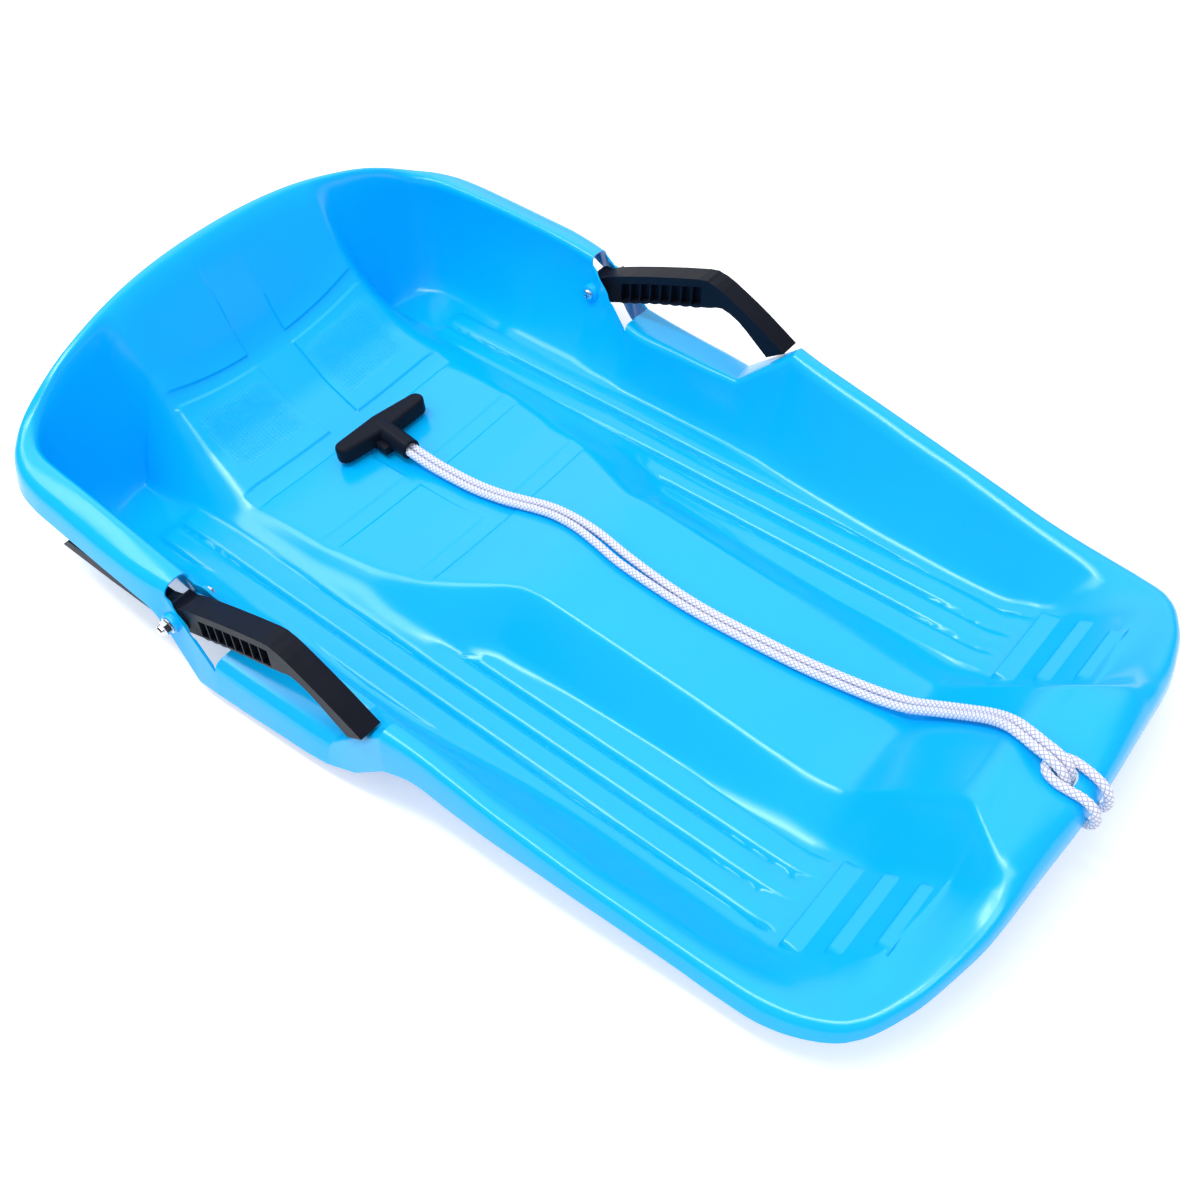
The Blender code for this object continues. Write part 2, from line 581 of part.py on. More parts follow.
def turned(name, profile, place, collection, material=None):
    """A solid turned about its own Z axis: profile rows are (height, radius), lowest first."""
    bm = bmesh.new()
    verts = [bm.verts.new((radius, 0, height)) for height, radius in reversed(profile)]
    for pair in zip(verts, verts[1:]):
        bm.edges.new(pair)
    obj = place_mesh(name, bm, collection, material)
    obj.matrix_world = place
    screw = obj.modifiers.new("Turned", "SCREW")
    screw.steps = TURN_STEPS
    screw.render_steps = TURN_STEPS
    screw.use_merge_vertices = True
    screw.merge_threshold = 0.00001
    return obj


def pivot_axis(side):
    """Matrix that lays a turned solid's axis along the brake pivot, outwards from the middle."""
    return Matrix.Translation((0, PIVOT_Y, PIVOT_Z)) @ Matrix.Rotation(side * math.pi / 2, 4, "Y")


def side_plane(x, y=0.0, z=0.0):
    """Matrix that stands a flat outline (y, z) upright, seen from the side, at a place."""
    return Matrix(((0, 0, 1, x), (1, 0, 0, y), (0, 1, 0, z), (0, 0, 0, 1)))


def as_mesh(guide, collection, material):
    """Replace a curve object by its mesh, with its caps welded."""
    bpy.context.view_layer.update()
    evaluated = guide.evaluated_get(bpy.context.evaluated_depsgraph_get())
    mesh = bpy.data.meshes.new_from_object(evaluated)
    bm = bmesh.new()
    bm.from_mesh(mesh)
    bpy.data.meshes.remove(mesh)
    bmesh.ops.remove_doubles(bm, verts=bm.verts, dist=0.00001)
    bmesh.ops.recalc_face_normals(bm, faces=bm.faces)
    name = guide.name
    place = guide.matrix_world.copy()
    bpy.data.objects.remove(guide)
    obj = place_mesh(name, bm, collection, material)
    obj.matrix_world = place
    return obj


def flat_outline(name, points, depth, place, collection, material=None):
    """A flat outline given some depth, made a mesh."""
    curve = bpy.data.curves.new(name, "CURVE")
    curve.dimensions = "2D"
    curve.fill_mode = "BOTH"
    curve.extrude = depth / 2
    spline = curve.splines.new("POLY")
    spline.points.add(len(points) - 1)
    for point, (across, up) in zip(spline.points, points):
        point.co = (across, up, 0, 1)
    spline.use_cyclic_u = True
    guide = bpy.data.objects.new(name, curve)
    collection.objects.link(guide)
    guide.matrix_world = place
    return as_mesh(guide, collection, material)


def add_cylinder(bm, x_range, radius, side, segments=TURN_STEPS):
    """Add a closed cylinder along X through the brake pivot."""
    made = bmesh.ops.create_cone(bm, cap_ends=True, segments=segments, radius1=radius,
                                 radius2=radius, depth=x_range[1] - x_range[0])
    place = pivot_axis(side) @ Matrix.Translation((0, 0, sum(x_range) / 2))
    bmesh.ops.transform(bm, matrix=place, verts=made["verts"])


def add_bar(bm, edges, ends, side):
    """Add one footrest bar: a tread stepped at its rear edge and flush at its front edge."""
    rear, front = edges
    inner, outer = (share * HALF_WIDTH * side for share in ends)
    deepest = BAR_EDGE_SHARES[0][0] - BAR_EDGE_SHARES[0][1]
    tops = (floor_height(front * HALF_LENGTH) - BAR_FLUSH,
            floor_height(rear * HALF_LENGTH) + BAR_RISE * (rear - front) / deepest)
    bottoms = (floor_height(front * HALF_LENGTH) - BAR_SINK, floor_height(rear * HALF_LENGTH) - BAR_SINK)
    made = bmesh.ops.create_cube(bm, size=2.0)
    for vert in made["verts"]:
        at_rear = vert.co.y > 0
        heights = tops if vert.co.z > 0 else bottoms
        x = outer if vert.co.x * side > 0 else inner
        vert.co = (x, (rear if at_rear else front) * HALF_LENGTH, heights[at_rear])


def make_shell(parts, cutters, material):
    """The moulded shell with its bosses, footrest bars, slots and holes."""
    shell = place_mesh("sled_shell", half_shell(), parts, material)
    mirror = shell.modifiers.new("Both halves", "MIRROR")
    mirror.merge_threshold = 0.0001
    solidify = shell.modifiers.new("Sheet", "SOLIDIFY")
    solidify.thickness = SHEET
    solidify.offset = -1
    solidify.use_even_offset = True
    joined = bmesh.new()
    cut = bmesh.new()
    bore = (INNER_BOSS_X[0] - BOSS_RADIUS, OUTER_BOSS_X[1] + BOSS_RADIUS)
    for side in (-1, 1):
        add_cylinder(joined, INNER_BOSS_X, BOSS_RADIUS, side, BOSS_SIDES)
        add_cylinder(joined, OUTER_BOSS_X, BOSS_RADIUS, side, BOSS_SIDES)
        add_cylinder(cut, bore, SHANK_RADIUS + HOLE_GAP, side, BOSS_SIDES)
        for edges, ends in zip(BAR_EDGE_SHARES, BAR_END_SHARES):
            add_bar(joined, edges, ends, side)
    bmesh.ops.recalc_face_normals(joined, faces=joined.faces)
    radius = ROPE_HOLE_WIDTH / 2
    hole = bmesh.ops.create_cone(cut, cap_ends=True, segments=TURN_STEPS, radius1=radius,
                                 radius2=radius, depth=ROPE_HOLE_DEPTH)
    size = Matrix.Diagonal((1, ROPE_HOLE_LENGTH / ROPE_HOLE_WIDTH, 1, 1))
    hole_x = ROPE_HOLE_SHARES[0] * HALF_WIDTH
    hole_y = ROPE_HOLE_SHARES[1] * HALF_LENGTH
    shift = Matrix.Translation((hole_x, hole_y, deck_height(0, hole_y)))
    bmesh.ops.transform(cut, matrix=shift @ size, verts=hole["verts"])
    add_boolean(shell, "UNION", place_mesh("shell_additions", joined, cutters))
    add_boolean(shell, "DIFFERENCE", place_mesh("shell_holes", cut, cutters))
    smooth(shell)


def line_at(t, points):
    """Value at t of the broken line through points."""
    for before, after in zip(points, points[1:]):
        if t <= after[0]:
            break
    return before[1] + (after[1] - before[1]) * (t - before[0]) / (after[0] - before[0])


def curve_through(points, steps):
    """Points of a smooth curve through the given ones, with steps for each interval."""
    points = [Vector(point) for point in points]
    padded = [points[0] * 2 - points[1]] + points + [points[-1] * 2 - points[-2]]
    smoothed = []
    for k, count in enumerate(steps):
        before, start, end, after = padded[k:k + 4]
        for step in range(count):
            t = step / count
            lead = (end - before) / 2
            tail = (after - start) / 2
            smoothed.append(start.lerp(end, smooth_step(t)) + lead * t * (1 - t) ** 2
                            - tail * t * t * (1 - t))
    return smoothed + [points[-1]]


def lever_outline():
    """Side outline of a lever from its pivot: grip top, claw, scalloped grip and hooked tip."""
    def sized(shares):
        return [(along * LEVER_LENGTH, up * LEVER_HEIGHT) for along, up in shares]
    top = curve_through(sized(LEVER_TOP_SHARES), [2] * (len(LEVER_TOP_SHARES) - 1))
    bottom = sized(LEVER_BOTTOM_SHARES)
    rear, front = (share * LEVER_LENGTH for share in GRIP_RECESS_SHARES)
    rising = sorted(bottom)
    scallops = []
    for k in range(GRIP_POCKET_COUNT * SCALLOP_STEPS):
        y = rear + (front - rear) * k / (GRIP_POCKET_COUNT * SCALLOP_STEPS)
        dip = math.sin(math.pi * (k % SCALLOP_STEPS) / SCALLOP_STEPS)
        scallops.append((y, line_at(y, rising) - SCALLOP_DEPTH * dip))
    hooked = [point for point in bottom if point[0] < front]
    hook = curve_through([(front, line_at(front, rising))] + hooked, [2] * len(hooked))
    outline = [tuple(point) for point in top] + sized(LEVER_CLAW_SHARES)
    return outline + [bottom[0]] + scallops + [tuple(point) for point in hook]


def grip_pockets(name, side, cutters):
    """Cutter for the recess in both sides of a grip, with its ribs left standing."""
    rising = sorted(LEVER_BOTTOM_SHARES)
    rear, front = GRIP_RECESS_SHARES
    bm = bmesh.new()
    middle = LEVER_INNER_X + LEVER_WIDTH / 2
    for face in (-1, 1):
        face_x = middle + face * LEVER_WIDTH / 2
        x_range = sorted((face_x - face * GRIP_RECESS, face_x + face * GRIP_RECESS))
        for k in range(GRIP_POCKET_COUNT):
            ends = [(rear + (front - rear) * (k + shift) / GRIP_POCKET_COUNT) * LEVER_LENGTH
                    for shift in (0, 1)]
            ends = [ends[0] - GRIP_RIB_WIDTH / 2, ends[1] + GRIP_RIB_WIDTH / 2]
            made = bmesh.ops.create_cube(bm, size=2.0)
            for vert in made["verts"]:
                y = ends[0] if vert.co.y > 0 else ends[1]
                bottom = line_at(y / LEVER_LENGTH, rising) * LEVER_HEIGHT + GRIP_LIP
                top = line_at(y / LEVER_LENGTH, LEVER_TOP_SHARES) * LEVER_HEIGHT - GRIP_FLANGE
                lean = GRIP_RIB_LEAN if vert.co.z > 0 else 0.0
                x = x_range[1] if vert.co.x > 0 else x_range[0]
                vert.co = (side * x, PIVOT_Y + y - lean, PIVOT_Z + (top if vert.co.z > 0 else bottom))
    bmesh.ops.recalc_face_normals(bm, faces=bm.faces)
    return place_mesh(name, bm, cutters)


def make_lever(name, side, parts, cutters, material):
    """One brake lever: grip, hub and claw, with its origin on the pivot."""
    middle = LEVER_INNER_X + LEVER_WIDTH / 2
    place = side_plane(side * middle, PIVOT_Y, PIVOT_Z)
    lever = flat_outline(f"brake_lever_{name}", lever_outline(), LEVER_WIDTH, place, parts, material)
    add_bevel(lever, LEVER_ROUND, angle=math.radians(80))
    hub = bmesh.new()
    hub_range = (INNER_BOSS_X[1] + FIT_GAP, OUTER_BOSS_X[0] - FIT_GAP)
    add_cylinder(hub, hub_range, HUB_RADIUS, side)
    add_boolean(lever, "UNION", place_mesh(f"hub_{name}", hub, cutters))
    bore = bmesh.new()
    add_cylinder(bore, (hub_range[0] - HUB_RADIUS, hub_range[1] + HUB_RADIUS),
                 SHANK_RADIUS + HOLE_GAP, side)
    add_boolean(lever, "DIFFERENCE", place_mesh(f"hub_bore_{name}", bore, cutters))
    add_boolean(lever, "DIFFERENCE", grip_pockets(f"grip_pockets_{name}", side, cutters))
    smooth(lever)


def make_bolt(name, side, parts, cutters, material):
    """A pan-head bolt with a cross recess, through both walls and the lever's hub."""
    seat = INNER_BOSS_X[0] - FIT_GAP
    crown = seat - HEAD_DEPTH
    end = OUTER_BOSS_X[1] + WASHER_DEPTH + NUT_DEPTH + BOLT_IN_DOME
    profile = [(crown, 0)]
    profile += [(crown + HEAD_DEPTH * depth, HEAD_RADIUS * width) for depth, width in HEAD_SHARES]
    profile += [(seat, SHANK_RADIUS), (end, SHANK_RADIUS), (end, 0)]
    bolt = turned(f"pivot_bolt_{name}", profile, pivot_axis(side), parts, material)
    arm = DRIVE_ARM
    half = DRIVE_WIDTH / 2
    cross = [(arm, half), (half, half), (half, arm), (-half, arm), (-half, half), (-arm, half),
             (-arm, -half), (-half, -half), (-half, -arm), (half, -arm), (half, -half), (arm, -half)]
    place = side_plane(side * crown, PIVOT_Y, PIVOT_Z)
    recess = flat_outline(f"drive_{name}", cross, DRIVE_DEPTH * 2, place, cutters)
    add_boolean(bolt, "DIFFERENCE", recess).solver = "MANIFOLD"
    smooth(bolt)


def make_washer(name, side, parts, cutters, material):
    """A flat washer outside the hem wall."""
    start = OUTER_BOSS_X[1] + FIT_GAP
    disc = bmesh.new()
    add_cylinder(disc, (start, start + WASHER_DEPTH), WASHER_RADIUS, side)
    washer = place_mesh(f"pivot_washer_{name}", disc, parts, material)
    add_bevel(washer, FIT_GAP / 2, 1)
    bore = bmesh.new()
    add_cylinder(bore, (start - WASHER_DEPTH, start + WASHER_DEPTH * 2), SHANK_RADIUS + HOLE_GAP, side)
    add_boolean(washer, "DIFFERENCE", place_mesh(f"washer_bore_{name}", bore, cutters))
    smooth(washer)


def make_nut(name, side, parts, cutters, material):
    """A hexagon nut with a closed dome over the bolt's end."""
    start = OUTER_BOSS_X[1] + WASHER_DEPTH + 2 * FIT_GAP
    hexagon = bmesh.new()
    add_cylinder(hexagon, (start, start + NUT_DEPTH), NUT_RADIUS, side, segments=6)
    nut = place_mesh(f"dome_nut_{name}", hexagon, parts, material)
    add_bevel(nut, FIT_GAP, 1)
    base = start + NUT_DEPTH
    profile = [(base - FIT_GAP * 2, 0), (base - FIT_GAP * 2, DOME_RADIUS)]
    for k in range(DOME_RINGS):
        angle = math.pi / 2 * k / DOME_RINGS
        profile.append((base + DOME_DEPTH * math.sin(angle), DOME_RADIUS * math.cos(angle)))
    profile.append((base + DOME_DEPTH, 0))
    dome = turned(f"dome_{name}", profile, pivot_axis(side), cutters)
    add_boolean(nut, "UNION", dome)
    bore = bmesh.new()
    add_cylinder(bore, (start - NUT_DEPTH, base + DOME_DEPTH - DOME_WALL), SHANK_RADIUS + HOLE_GAP, side)
    add_boolean(nut, "DIFFERENCE", place_mesh(f"nut_bore_{name}", bore, cutters))
    smooth(nut)


def handle_outline():
    """Plan of the handle's bar: widest in the middle, round at its ends."""
    end_radius = HANDLE_WIDTH / 2 * HANDLE_END_SHARE
    centre = HANDLE_LENGTH / 2 - end_radius
    points = []
    for end in (1, -1):
        points.append((0, -end * HANDLE_WIDTH / 2))
        for k in range(HANDLE_END_STEPS + 1):
            angle = math.pi * (k / HANDLE_END_STEPS - 0.5)
            across = centre + end_radius * math.cos(angle)
            points.append((end * across, end * end_radius * math.sin(angle)))
    return points


def make_handle(parts, cutters, material):
    """The T-shaped pull handle lying on the seat, hollow where the rope's knot sits."""
    middle_z = deck_height(HANDLE_X, HANDLE_Y) + HANDLE_REST_GAP + HANDLE_HEIGHT / 2
    turn = Matrix.Rotation(HANDLE_TURN, 4, "Z")
    place = Matrix.Translation((HANDLE_X, HANDLE_Y, middle_z)) @ turn
    handle = flat_outline("pull_handle", handle_outline(), HANDLE_HEIGHT, place, parts, material)
    add_bevel(handle, HANDLE_ROUND, 3)
    forwards = place @ Matrix.Rotation(math.pi / 2, 4, "X")
    reach = HANDLE_WIDTH / 2 + NECK_LENGTH
    neck = [(0, 0), (0, NECK_ROOT_RADIUS), (reach - HANDLE_ROUND / 2, NECK_TIP_RADIUS),
            (reach, NECK_TIP_RADIUS - HANDLE_ROUND / 2), (reach, 0)]
    add_boolean(handle, "UNION", turned("handle_neck", neck, forwards, cutters))
    add_boolean(handle, "UNION", make_gusset(place, cutters))
    pocket_end = reach - POCKET_FROM_TIP
    hollow = [(pocket_end - POCKET_LENGTH, 0), (pocket_end - POCKET_LENGTH, POCKET_RADIUS),
              (pocket_end, POCKET_RADIUS), (pocket_end, BORE_RADIUS),
              (reach + HANDLE_ROUND, BORE_RADIUS), (reach + HANDLE_ROUND, 0)]
    add_boolean(handle, "DIFFERENCE", turned("handle_hollow", hollow, forwards, cutters))
    smooth(handle)
    return forwards @ Matrix.Translation((0, 0, pocket_end - POCKET_LENGTH / 2))


def make_gusset(place, cutters):
    """Cutter-side block that stiffens the corner between the handle's bar and neck."""
    width, length, height = GUSSET_SIZE
    bm = bmesh.new()
    made = bmesh.ops.create_cube(bm, size=1.0)
    bmesh.ops.transform(bm, matrix=Matrix.Diagonal((width, length, height, 1)), verts=made["verts"])
    gusset = place_mesh("handle_gusset", bm, cutters)
    shift = Matrix.Translation((-NECK_ROOT_RADIUS, -(HANDLE_WIDTH + length) / 2 + HANDLE_ROUND,
                                height / 2 - HANDLE_HEIGHT / 2))
    gusset.matrix_world = place @ shift
    return gusset


def make_knot(place, parts, material):
    """The knot that joins the rope's two ends inside the handle."""
    bm = bmesh.new()
    bmesh.ops.create_uvsphere(bm, u_segments=16, v_segments=10, radius=KNOT_RADIUS)
    knot = place_mesh("rope_knot", bm, parts, material)
    knot.matrix_world = place
    smooth(knot, math.pi)


def make_tube(name, points, parts, material):
    """A piece of rope along points of its middle line."""
    curve = bpy.data.curves.new(name, "CURVE")
    curve.dimensions = "3D"
    curve.bevel_depth = ROPE_DIAMETER / 2
    curve.bevel_resolution = 2
    curve.use_fill_caps = True
    spline = curve.splines.new("POLY")
    spline.points.add(len(points) - 1)
    for point, place in zip(spline.points, points):
        point.co = (*place, 1)
    tube = bpy.data.objects.new(name, curve)
    parts.objects.link(tube)
    curve.materials.append(material)
    weld = tube.modifiers.new("Welded caps", "WELD")
    weld.merge_threshold = 0.00001


def strand_points(side):
    """Middle line of one strand of the doubled rope."""
    middles = [Vector(row[:3]) for row in ROPE_ROUTE]
    steps = [max(1, round((b - a).length / ROPE_STEP)) for a, b in zip(middles, middles[1:])]
    points = []
    for k, row in enumerate(ROPE_ROUTE):
        ahead = middles[min(k + 1, len(middles) - 1)] - middles[max(k - 1, 0)]
        across = Vector((-ahead.y, ahead.x, 0)).normalized()
        points.append(middles[k] + across * side * row[3])
    return curve_through(points, steps)


def main():
    """Build every sub-part of the sled."""
    for obj in list(bpy.data.objects):
        bpy.data.objects.remove(obj)
    parts = bpy.data.collections.new("plastic_sled")
    cutters = bpy.data.collections.new("cutters")
    bpy.context.scene.collection.children.link(parts)
    bpy.context.scene.collection.children.link(cutters)
    blue = new_material("blue_plastic", (0.02, 0.42, 0.95), 0.35)
    black = new_material("black_plastic", (0.012, 0.012, 0.016), 0.45)
    metal = new_material("zinc_steel", (0.72, 0.73, 0.75), 0.25, 1.0)
    white = new_material("white_rope", (0.86, 0.85, 0.89), 0.85)
    make_shell(parts, cutters, blue)
    for name, side in (("left", 1), ("right", -1)):
        make_lever(name, side, parts, cutters, black)
        make_bolt(name, side, parts, cutters, metal)
        make_washer(name, side, parts, cutters, metal)
        make_nut(name, side, parts, cutters, metal)
        make_tube(f"tow_rope_{name}", strand_points(side), parts, white)
    make_tube("tow_rope_hitch", curve_through(HITCH_ROUTE, [1] * (len(HITCH_ROUTE) - 1)), parts, white)
    make_knot(make_handle(parts, cutters, black), parts, white)


main()
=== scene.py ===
"""Looks of a child's plastic snow sled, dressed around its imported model.

The blue shell is built again with fine curves, panels and ribs in the place of its plain solid.
The doubled tow rope gets its plait, and the brake levers, the handle and the bolts their finish.
"""
import math

import bmesh
import bpy
from bpy.props import FloatProperty, FloatVectorProperty, IntProperty, PointerProperty
from bpy.types import Operator, Panel, PropertyGroup
from mathutils import Matrix, Vector


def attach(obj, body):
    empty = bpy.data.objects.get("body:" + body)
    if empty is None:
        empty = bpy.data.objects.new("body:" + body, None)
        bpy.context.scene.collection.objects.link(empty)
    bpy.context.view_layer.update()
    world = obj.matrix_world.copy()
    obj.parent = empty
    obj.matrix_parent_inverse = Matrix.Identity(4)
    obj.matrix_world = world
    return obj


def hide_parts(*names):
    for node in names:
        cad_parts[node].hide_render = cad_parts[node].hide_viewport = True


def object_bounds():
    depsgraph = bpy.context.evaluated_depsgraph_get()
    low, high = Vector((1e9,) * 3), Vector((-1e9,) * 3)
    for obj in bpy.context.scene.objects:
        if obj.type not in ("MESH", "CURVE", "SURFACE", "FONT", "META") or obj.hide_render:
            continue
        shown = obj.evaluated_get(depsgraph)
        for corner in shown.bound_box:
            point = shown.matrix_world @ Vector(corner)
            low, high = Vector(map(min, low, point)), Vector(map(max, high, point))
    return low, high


bl_info = {
    "name": "Snow sled looks",
    "version": (1, 0, 0),
    "blender": (4, 5, 0),
    "location": "3D View > Sidebar > Snow sled",
    "description": "Dresses the packed model of a moulded snow sled for its picture",
    "category": "Object",
}

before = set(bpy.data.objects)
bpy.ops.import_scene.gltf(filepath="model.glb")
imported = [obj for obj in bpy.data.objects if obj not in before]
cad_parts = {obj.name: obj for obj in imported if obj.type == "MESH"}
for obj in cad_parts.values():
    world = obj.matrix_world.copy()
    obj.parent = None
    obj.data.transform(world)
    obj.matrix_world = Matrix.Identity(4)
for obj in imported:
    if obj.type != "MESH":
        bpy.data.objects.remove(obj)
CAD_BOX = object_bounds()

# Camera that the photograph was taken with: place and its right, down and forward directions
CAMERA_PLACE = (-0.4552, -0.4596, 0.7361)
CAMERA_AXES = (
    (0.64134788, -0.76453363, -0.06450755),
    (-0.612756, -0.45979394, -0.64274382),
    (0.46173909, 0.45174978, -0.76336044),
)
CAMERA_LENS_MM = 40.34
SENSOR_MM = 36.0

# The sky's brighter side and colour, the long light overhead and the floor
SKY_LEAN = (-0.10, -0.05, 0.994)
SKY_EDGES = (-0.1, 1.0)
SKY_COLOUR = (0.97, 0.99, 1.03, 1.0)
LIGHT_SIZE = (0.2, 1.8)
LIGHT_PLACE = (-0.5, 0.35, 2.2)
FLOOR_HALF_SIZE = 6.0

# The window that flat faces mirror to the camera, and the pale horizon
UP = (0, 0, 1)
WINDOW_DIRECTION = (0.46, 0.45, 0.765)
WINDOW_EDGES = (0.55, 0.98)
HORIZON_EDGES = (0.0, 0.08)
# The long tube overhead that round edges mirror: its lean to the side, and its own edges and ends
TUBE_LEAN = -0.24
TUBE_EDGES = (0.16, 0.08)
TUBE_END_EDGES = (0.60, 0.70)

# Driving sizes of the shell in metres, as in the part, and shares of them
HALF_WIDTH = 0.2375
HALF_LENGTH = 0.385
RIM_HEIGHT = 0.148
RIM_ROUND = 0.007
RIM_ROUND_SHARE = 0.42
RIM_ROLL = 0.024
RIM_ROLL_SHARE = 0.30
RIM_ROLL_HEIGHTS = (0.62, 0.90)
RIM_CROWN = 0.001
RIB_FIRST = 0.0885
RIB_PITCH = 0.020
RIB_COUNT = 4
RIB_FADE = 0.012
BAR_RISE = 0.0058
BAR_SINK = 0.0014
BAR_FLUSH = 0.0005
BAR_END_ROUND = 0.0060
BAR_REAR_ROUND = 0.0030
BAR_STEPS = (40, 24)
LINE_EASE_SHARE = 0.020
EDGE_EASE = 0.004
BACK_EASE = 0.016
BACK_EASE_SHARES = (0.52, 0.76)
FOOT_EASE = 0.008
ROPE_HOLE_WIDTH = 0.0175
ROPE_HOLE_LENGTH = 0.0095
ROPE_HOLE_DEPTH = 0.037
ROPE_HOLE_SHARES = (-0.0147, -0.952)

# Brake pivot and its moulded bosses
PIVOT_Y = 0.413 * HALF_LENGTH
PIVOT_Z = 0.392 * RIM_HEIGHT
INNER_BOSS_X = (0.8421 * HALF_WIDTH, 0.8817 * HALF_WIDTH)
OUTER_BOSS_X = (0.9587 * HALF_WIDTH, 0.9895 * HALF_WIDTH)
BOSS_RADIUS = 0.0075
BOSS_SEGMENTS = 40
BOSS_EDGE = 0.0006
BOLT_HOLE_RADIUS = 0.0029
BOLT_HOLE_SEGMENTS = 32
ROPE_HOLE_SEGMENTS = 48
MERGE_DISTANCE = 0.0001
SHARP_ANGLE = math.radians(50)

# Columns and rows of the deck's fine mesh, counted in the part's columns and stations
DECK_COLUMNS = 17
GROOVE_COLUMN_SHARE = 0.053
EDGE_COLUMN = 5
FOOT_COLUMN = 7
COLUMN_GAP = 0.0015
ROW_BEND_SHARE = 0.20
STRAIGHT_STATIONS = (9, 10, 15, 16)
MIDDLE_PLANE = (-1, 1, 1)
OPEN_STATIONS = (9, 11)
CORNER_STATIONS = (9, 10, 11, 15, 17)
SEAT_COLUMNS = (0, 0.5, 0.9, 0.965, 1.02, 1.06, 1.5, 2, 2.5, 3, 3.5, 4, 4.4, 4.7, 4.85, 5, 5.15,
                5.4, 5.7, 6, 6.3, 6.55, 6.75, 6.9, 7, 7.3, 7.6)
VALLEY_COLUMNS = (-0.5, -0.25, -0.12, 0, 0.12, 0.25, 0.5, 1)
ROW_STEP = 0.0052
FINE_ROW_STEP = 0.0024
FINE_ROWS_Y = (-0.262, 0.262)
CORNER_ROW_GAP = 0.0013
WALL_STEPS = 9
WALL_STEP_POWER = 1.4
WALL_END_REACH = 1.35
WALL_END_SHARE = 0.40
ARC_STEPS = 7
HEM_STEPS = 2

# Sunk strips between the seat's raised panels: pairs of lines across it, as half length shares
STRIP_SHARES = ((0.176, 0.220), (0.397, 0.439), (0.609, 0.6545), (0.8395, 0.8582))
STRIP_FADE_COLUMNS = (4.7, 5)
DEEP_STRIP_Y = (0.215, 0.255)
STRIP_WALL = 0.0007
SLOPE_STEP_SHARE = 0.125

# Deck lines: (share of the half length, share of the height or of the half width)
MIDDLE_HEIGHT_SHARES = (
    (-1.026, 0.527), (-0.990, 0.547), (-0.901, 0.584), (-0.857, 0.588), (-0.668, 0.155),
    (-0.605, 0.145), (-0.377, 0.209), (-0.039, 0.280), (0.034, 0.257), (0.195, 0.149),
    (0.299, 0.101), (0.623, 0.088), (0.753, 0.189), (0.862, 0.392), (0.953, 1.000),
)
EDGE_HEIGHT_SHARES = (
    (-1.026, 0.527), (-0.990, 0.541), (-0.917, 0.574), (-0.883, 0.595), (-0.857, 0.588),
    (-0.668, 0.162), (-0.605, 0.149), (-0.377, 0.209), (-0.039, 0.280), (0.034, 0.257),
    (0.195, 0.169), (0.299, 0.122), (0.623, 0.108), (0.753, 0.230), (0.839, 0.429),
    (0.961, 0.986),
)
EDGE_HALF_WIDTH_SHARES = (
    (-1.026, 0.362), (-0.953, 0.328), (-0.883, 0.232), (-0.855, 0.198), (-0.668, 0.215),
    (-0.506, 0.229), (0.013, 0.240), (0.174, 0.352), (0.226, 0.375), (0.429, 0.429),
    (0.662, 0.442), (0.849, 0.413), (0.961, 0.417),
)
FOOT_HALF_WIDTH_SHARES = (
    (-1.026, 0.371), (-0.870, 0.349), (-0.727, 0.341), (-0.592, 0.362), (0.000, 0.406),
    (0.117, 0.509), (0.403, 0.543), (0.688, 0.564), (0.909, 0.573),
)
FLOOR_RISE_SHARES = (
    (-1.026, 0.672), (-0.896, 0.389), (-0.756, 0.098), (-0.668, 0.000), (0.909, 0.000),
)

# Footrest bars: rear and front edges as shares of the half length, ends of the half width
BAR_EDGE_SHARES = ((-0.724, -0.768), (-0.792, -0.826), (-0.852, -0.882))
BAR_END_SHARES = ((0.350, 0.664), (0.352, 0.640), (0.362, 0.592))
RIB_END_SHARES = (-0.722, 0.755)

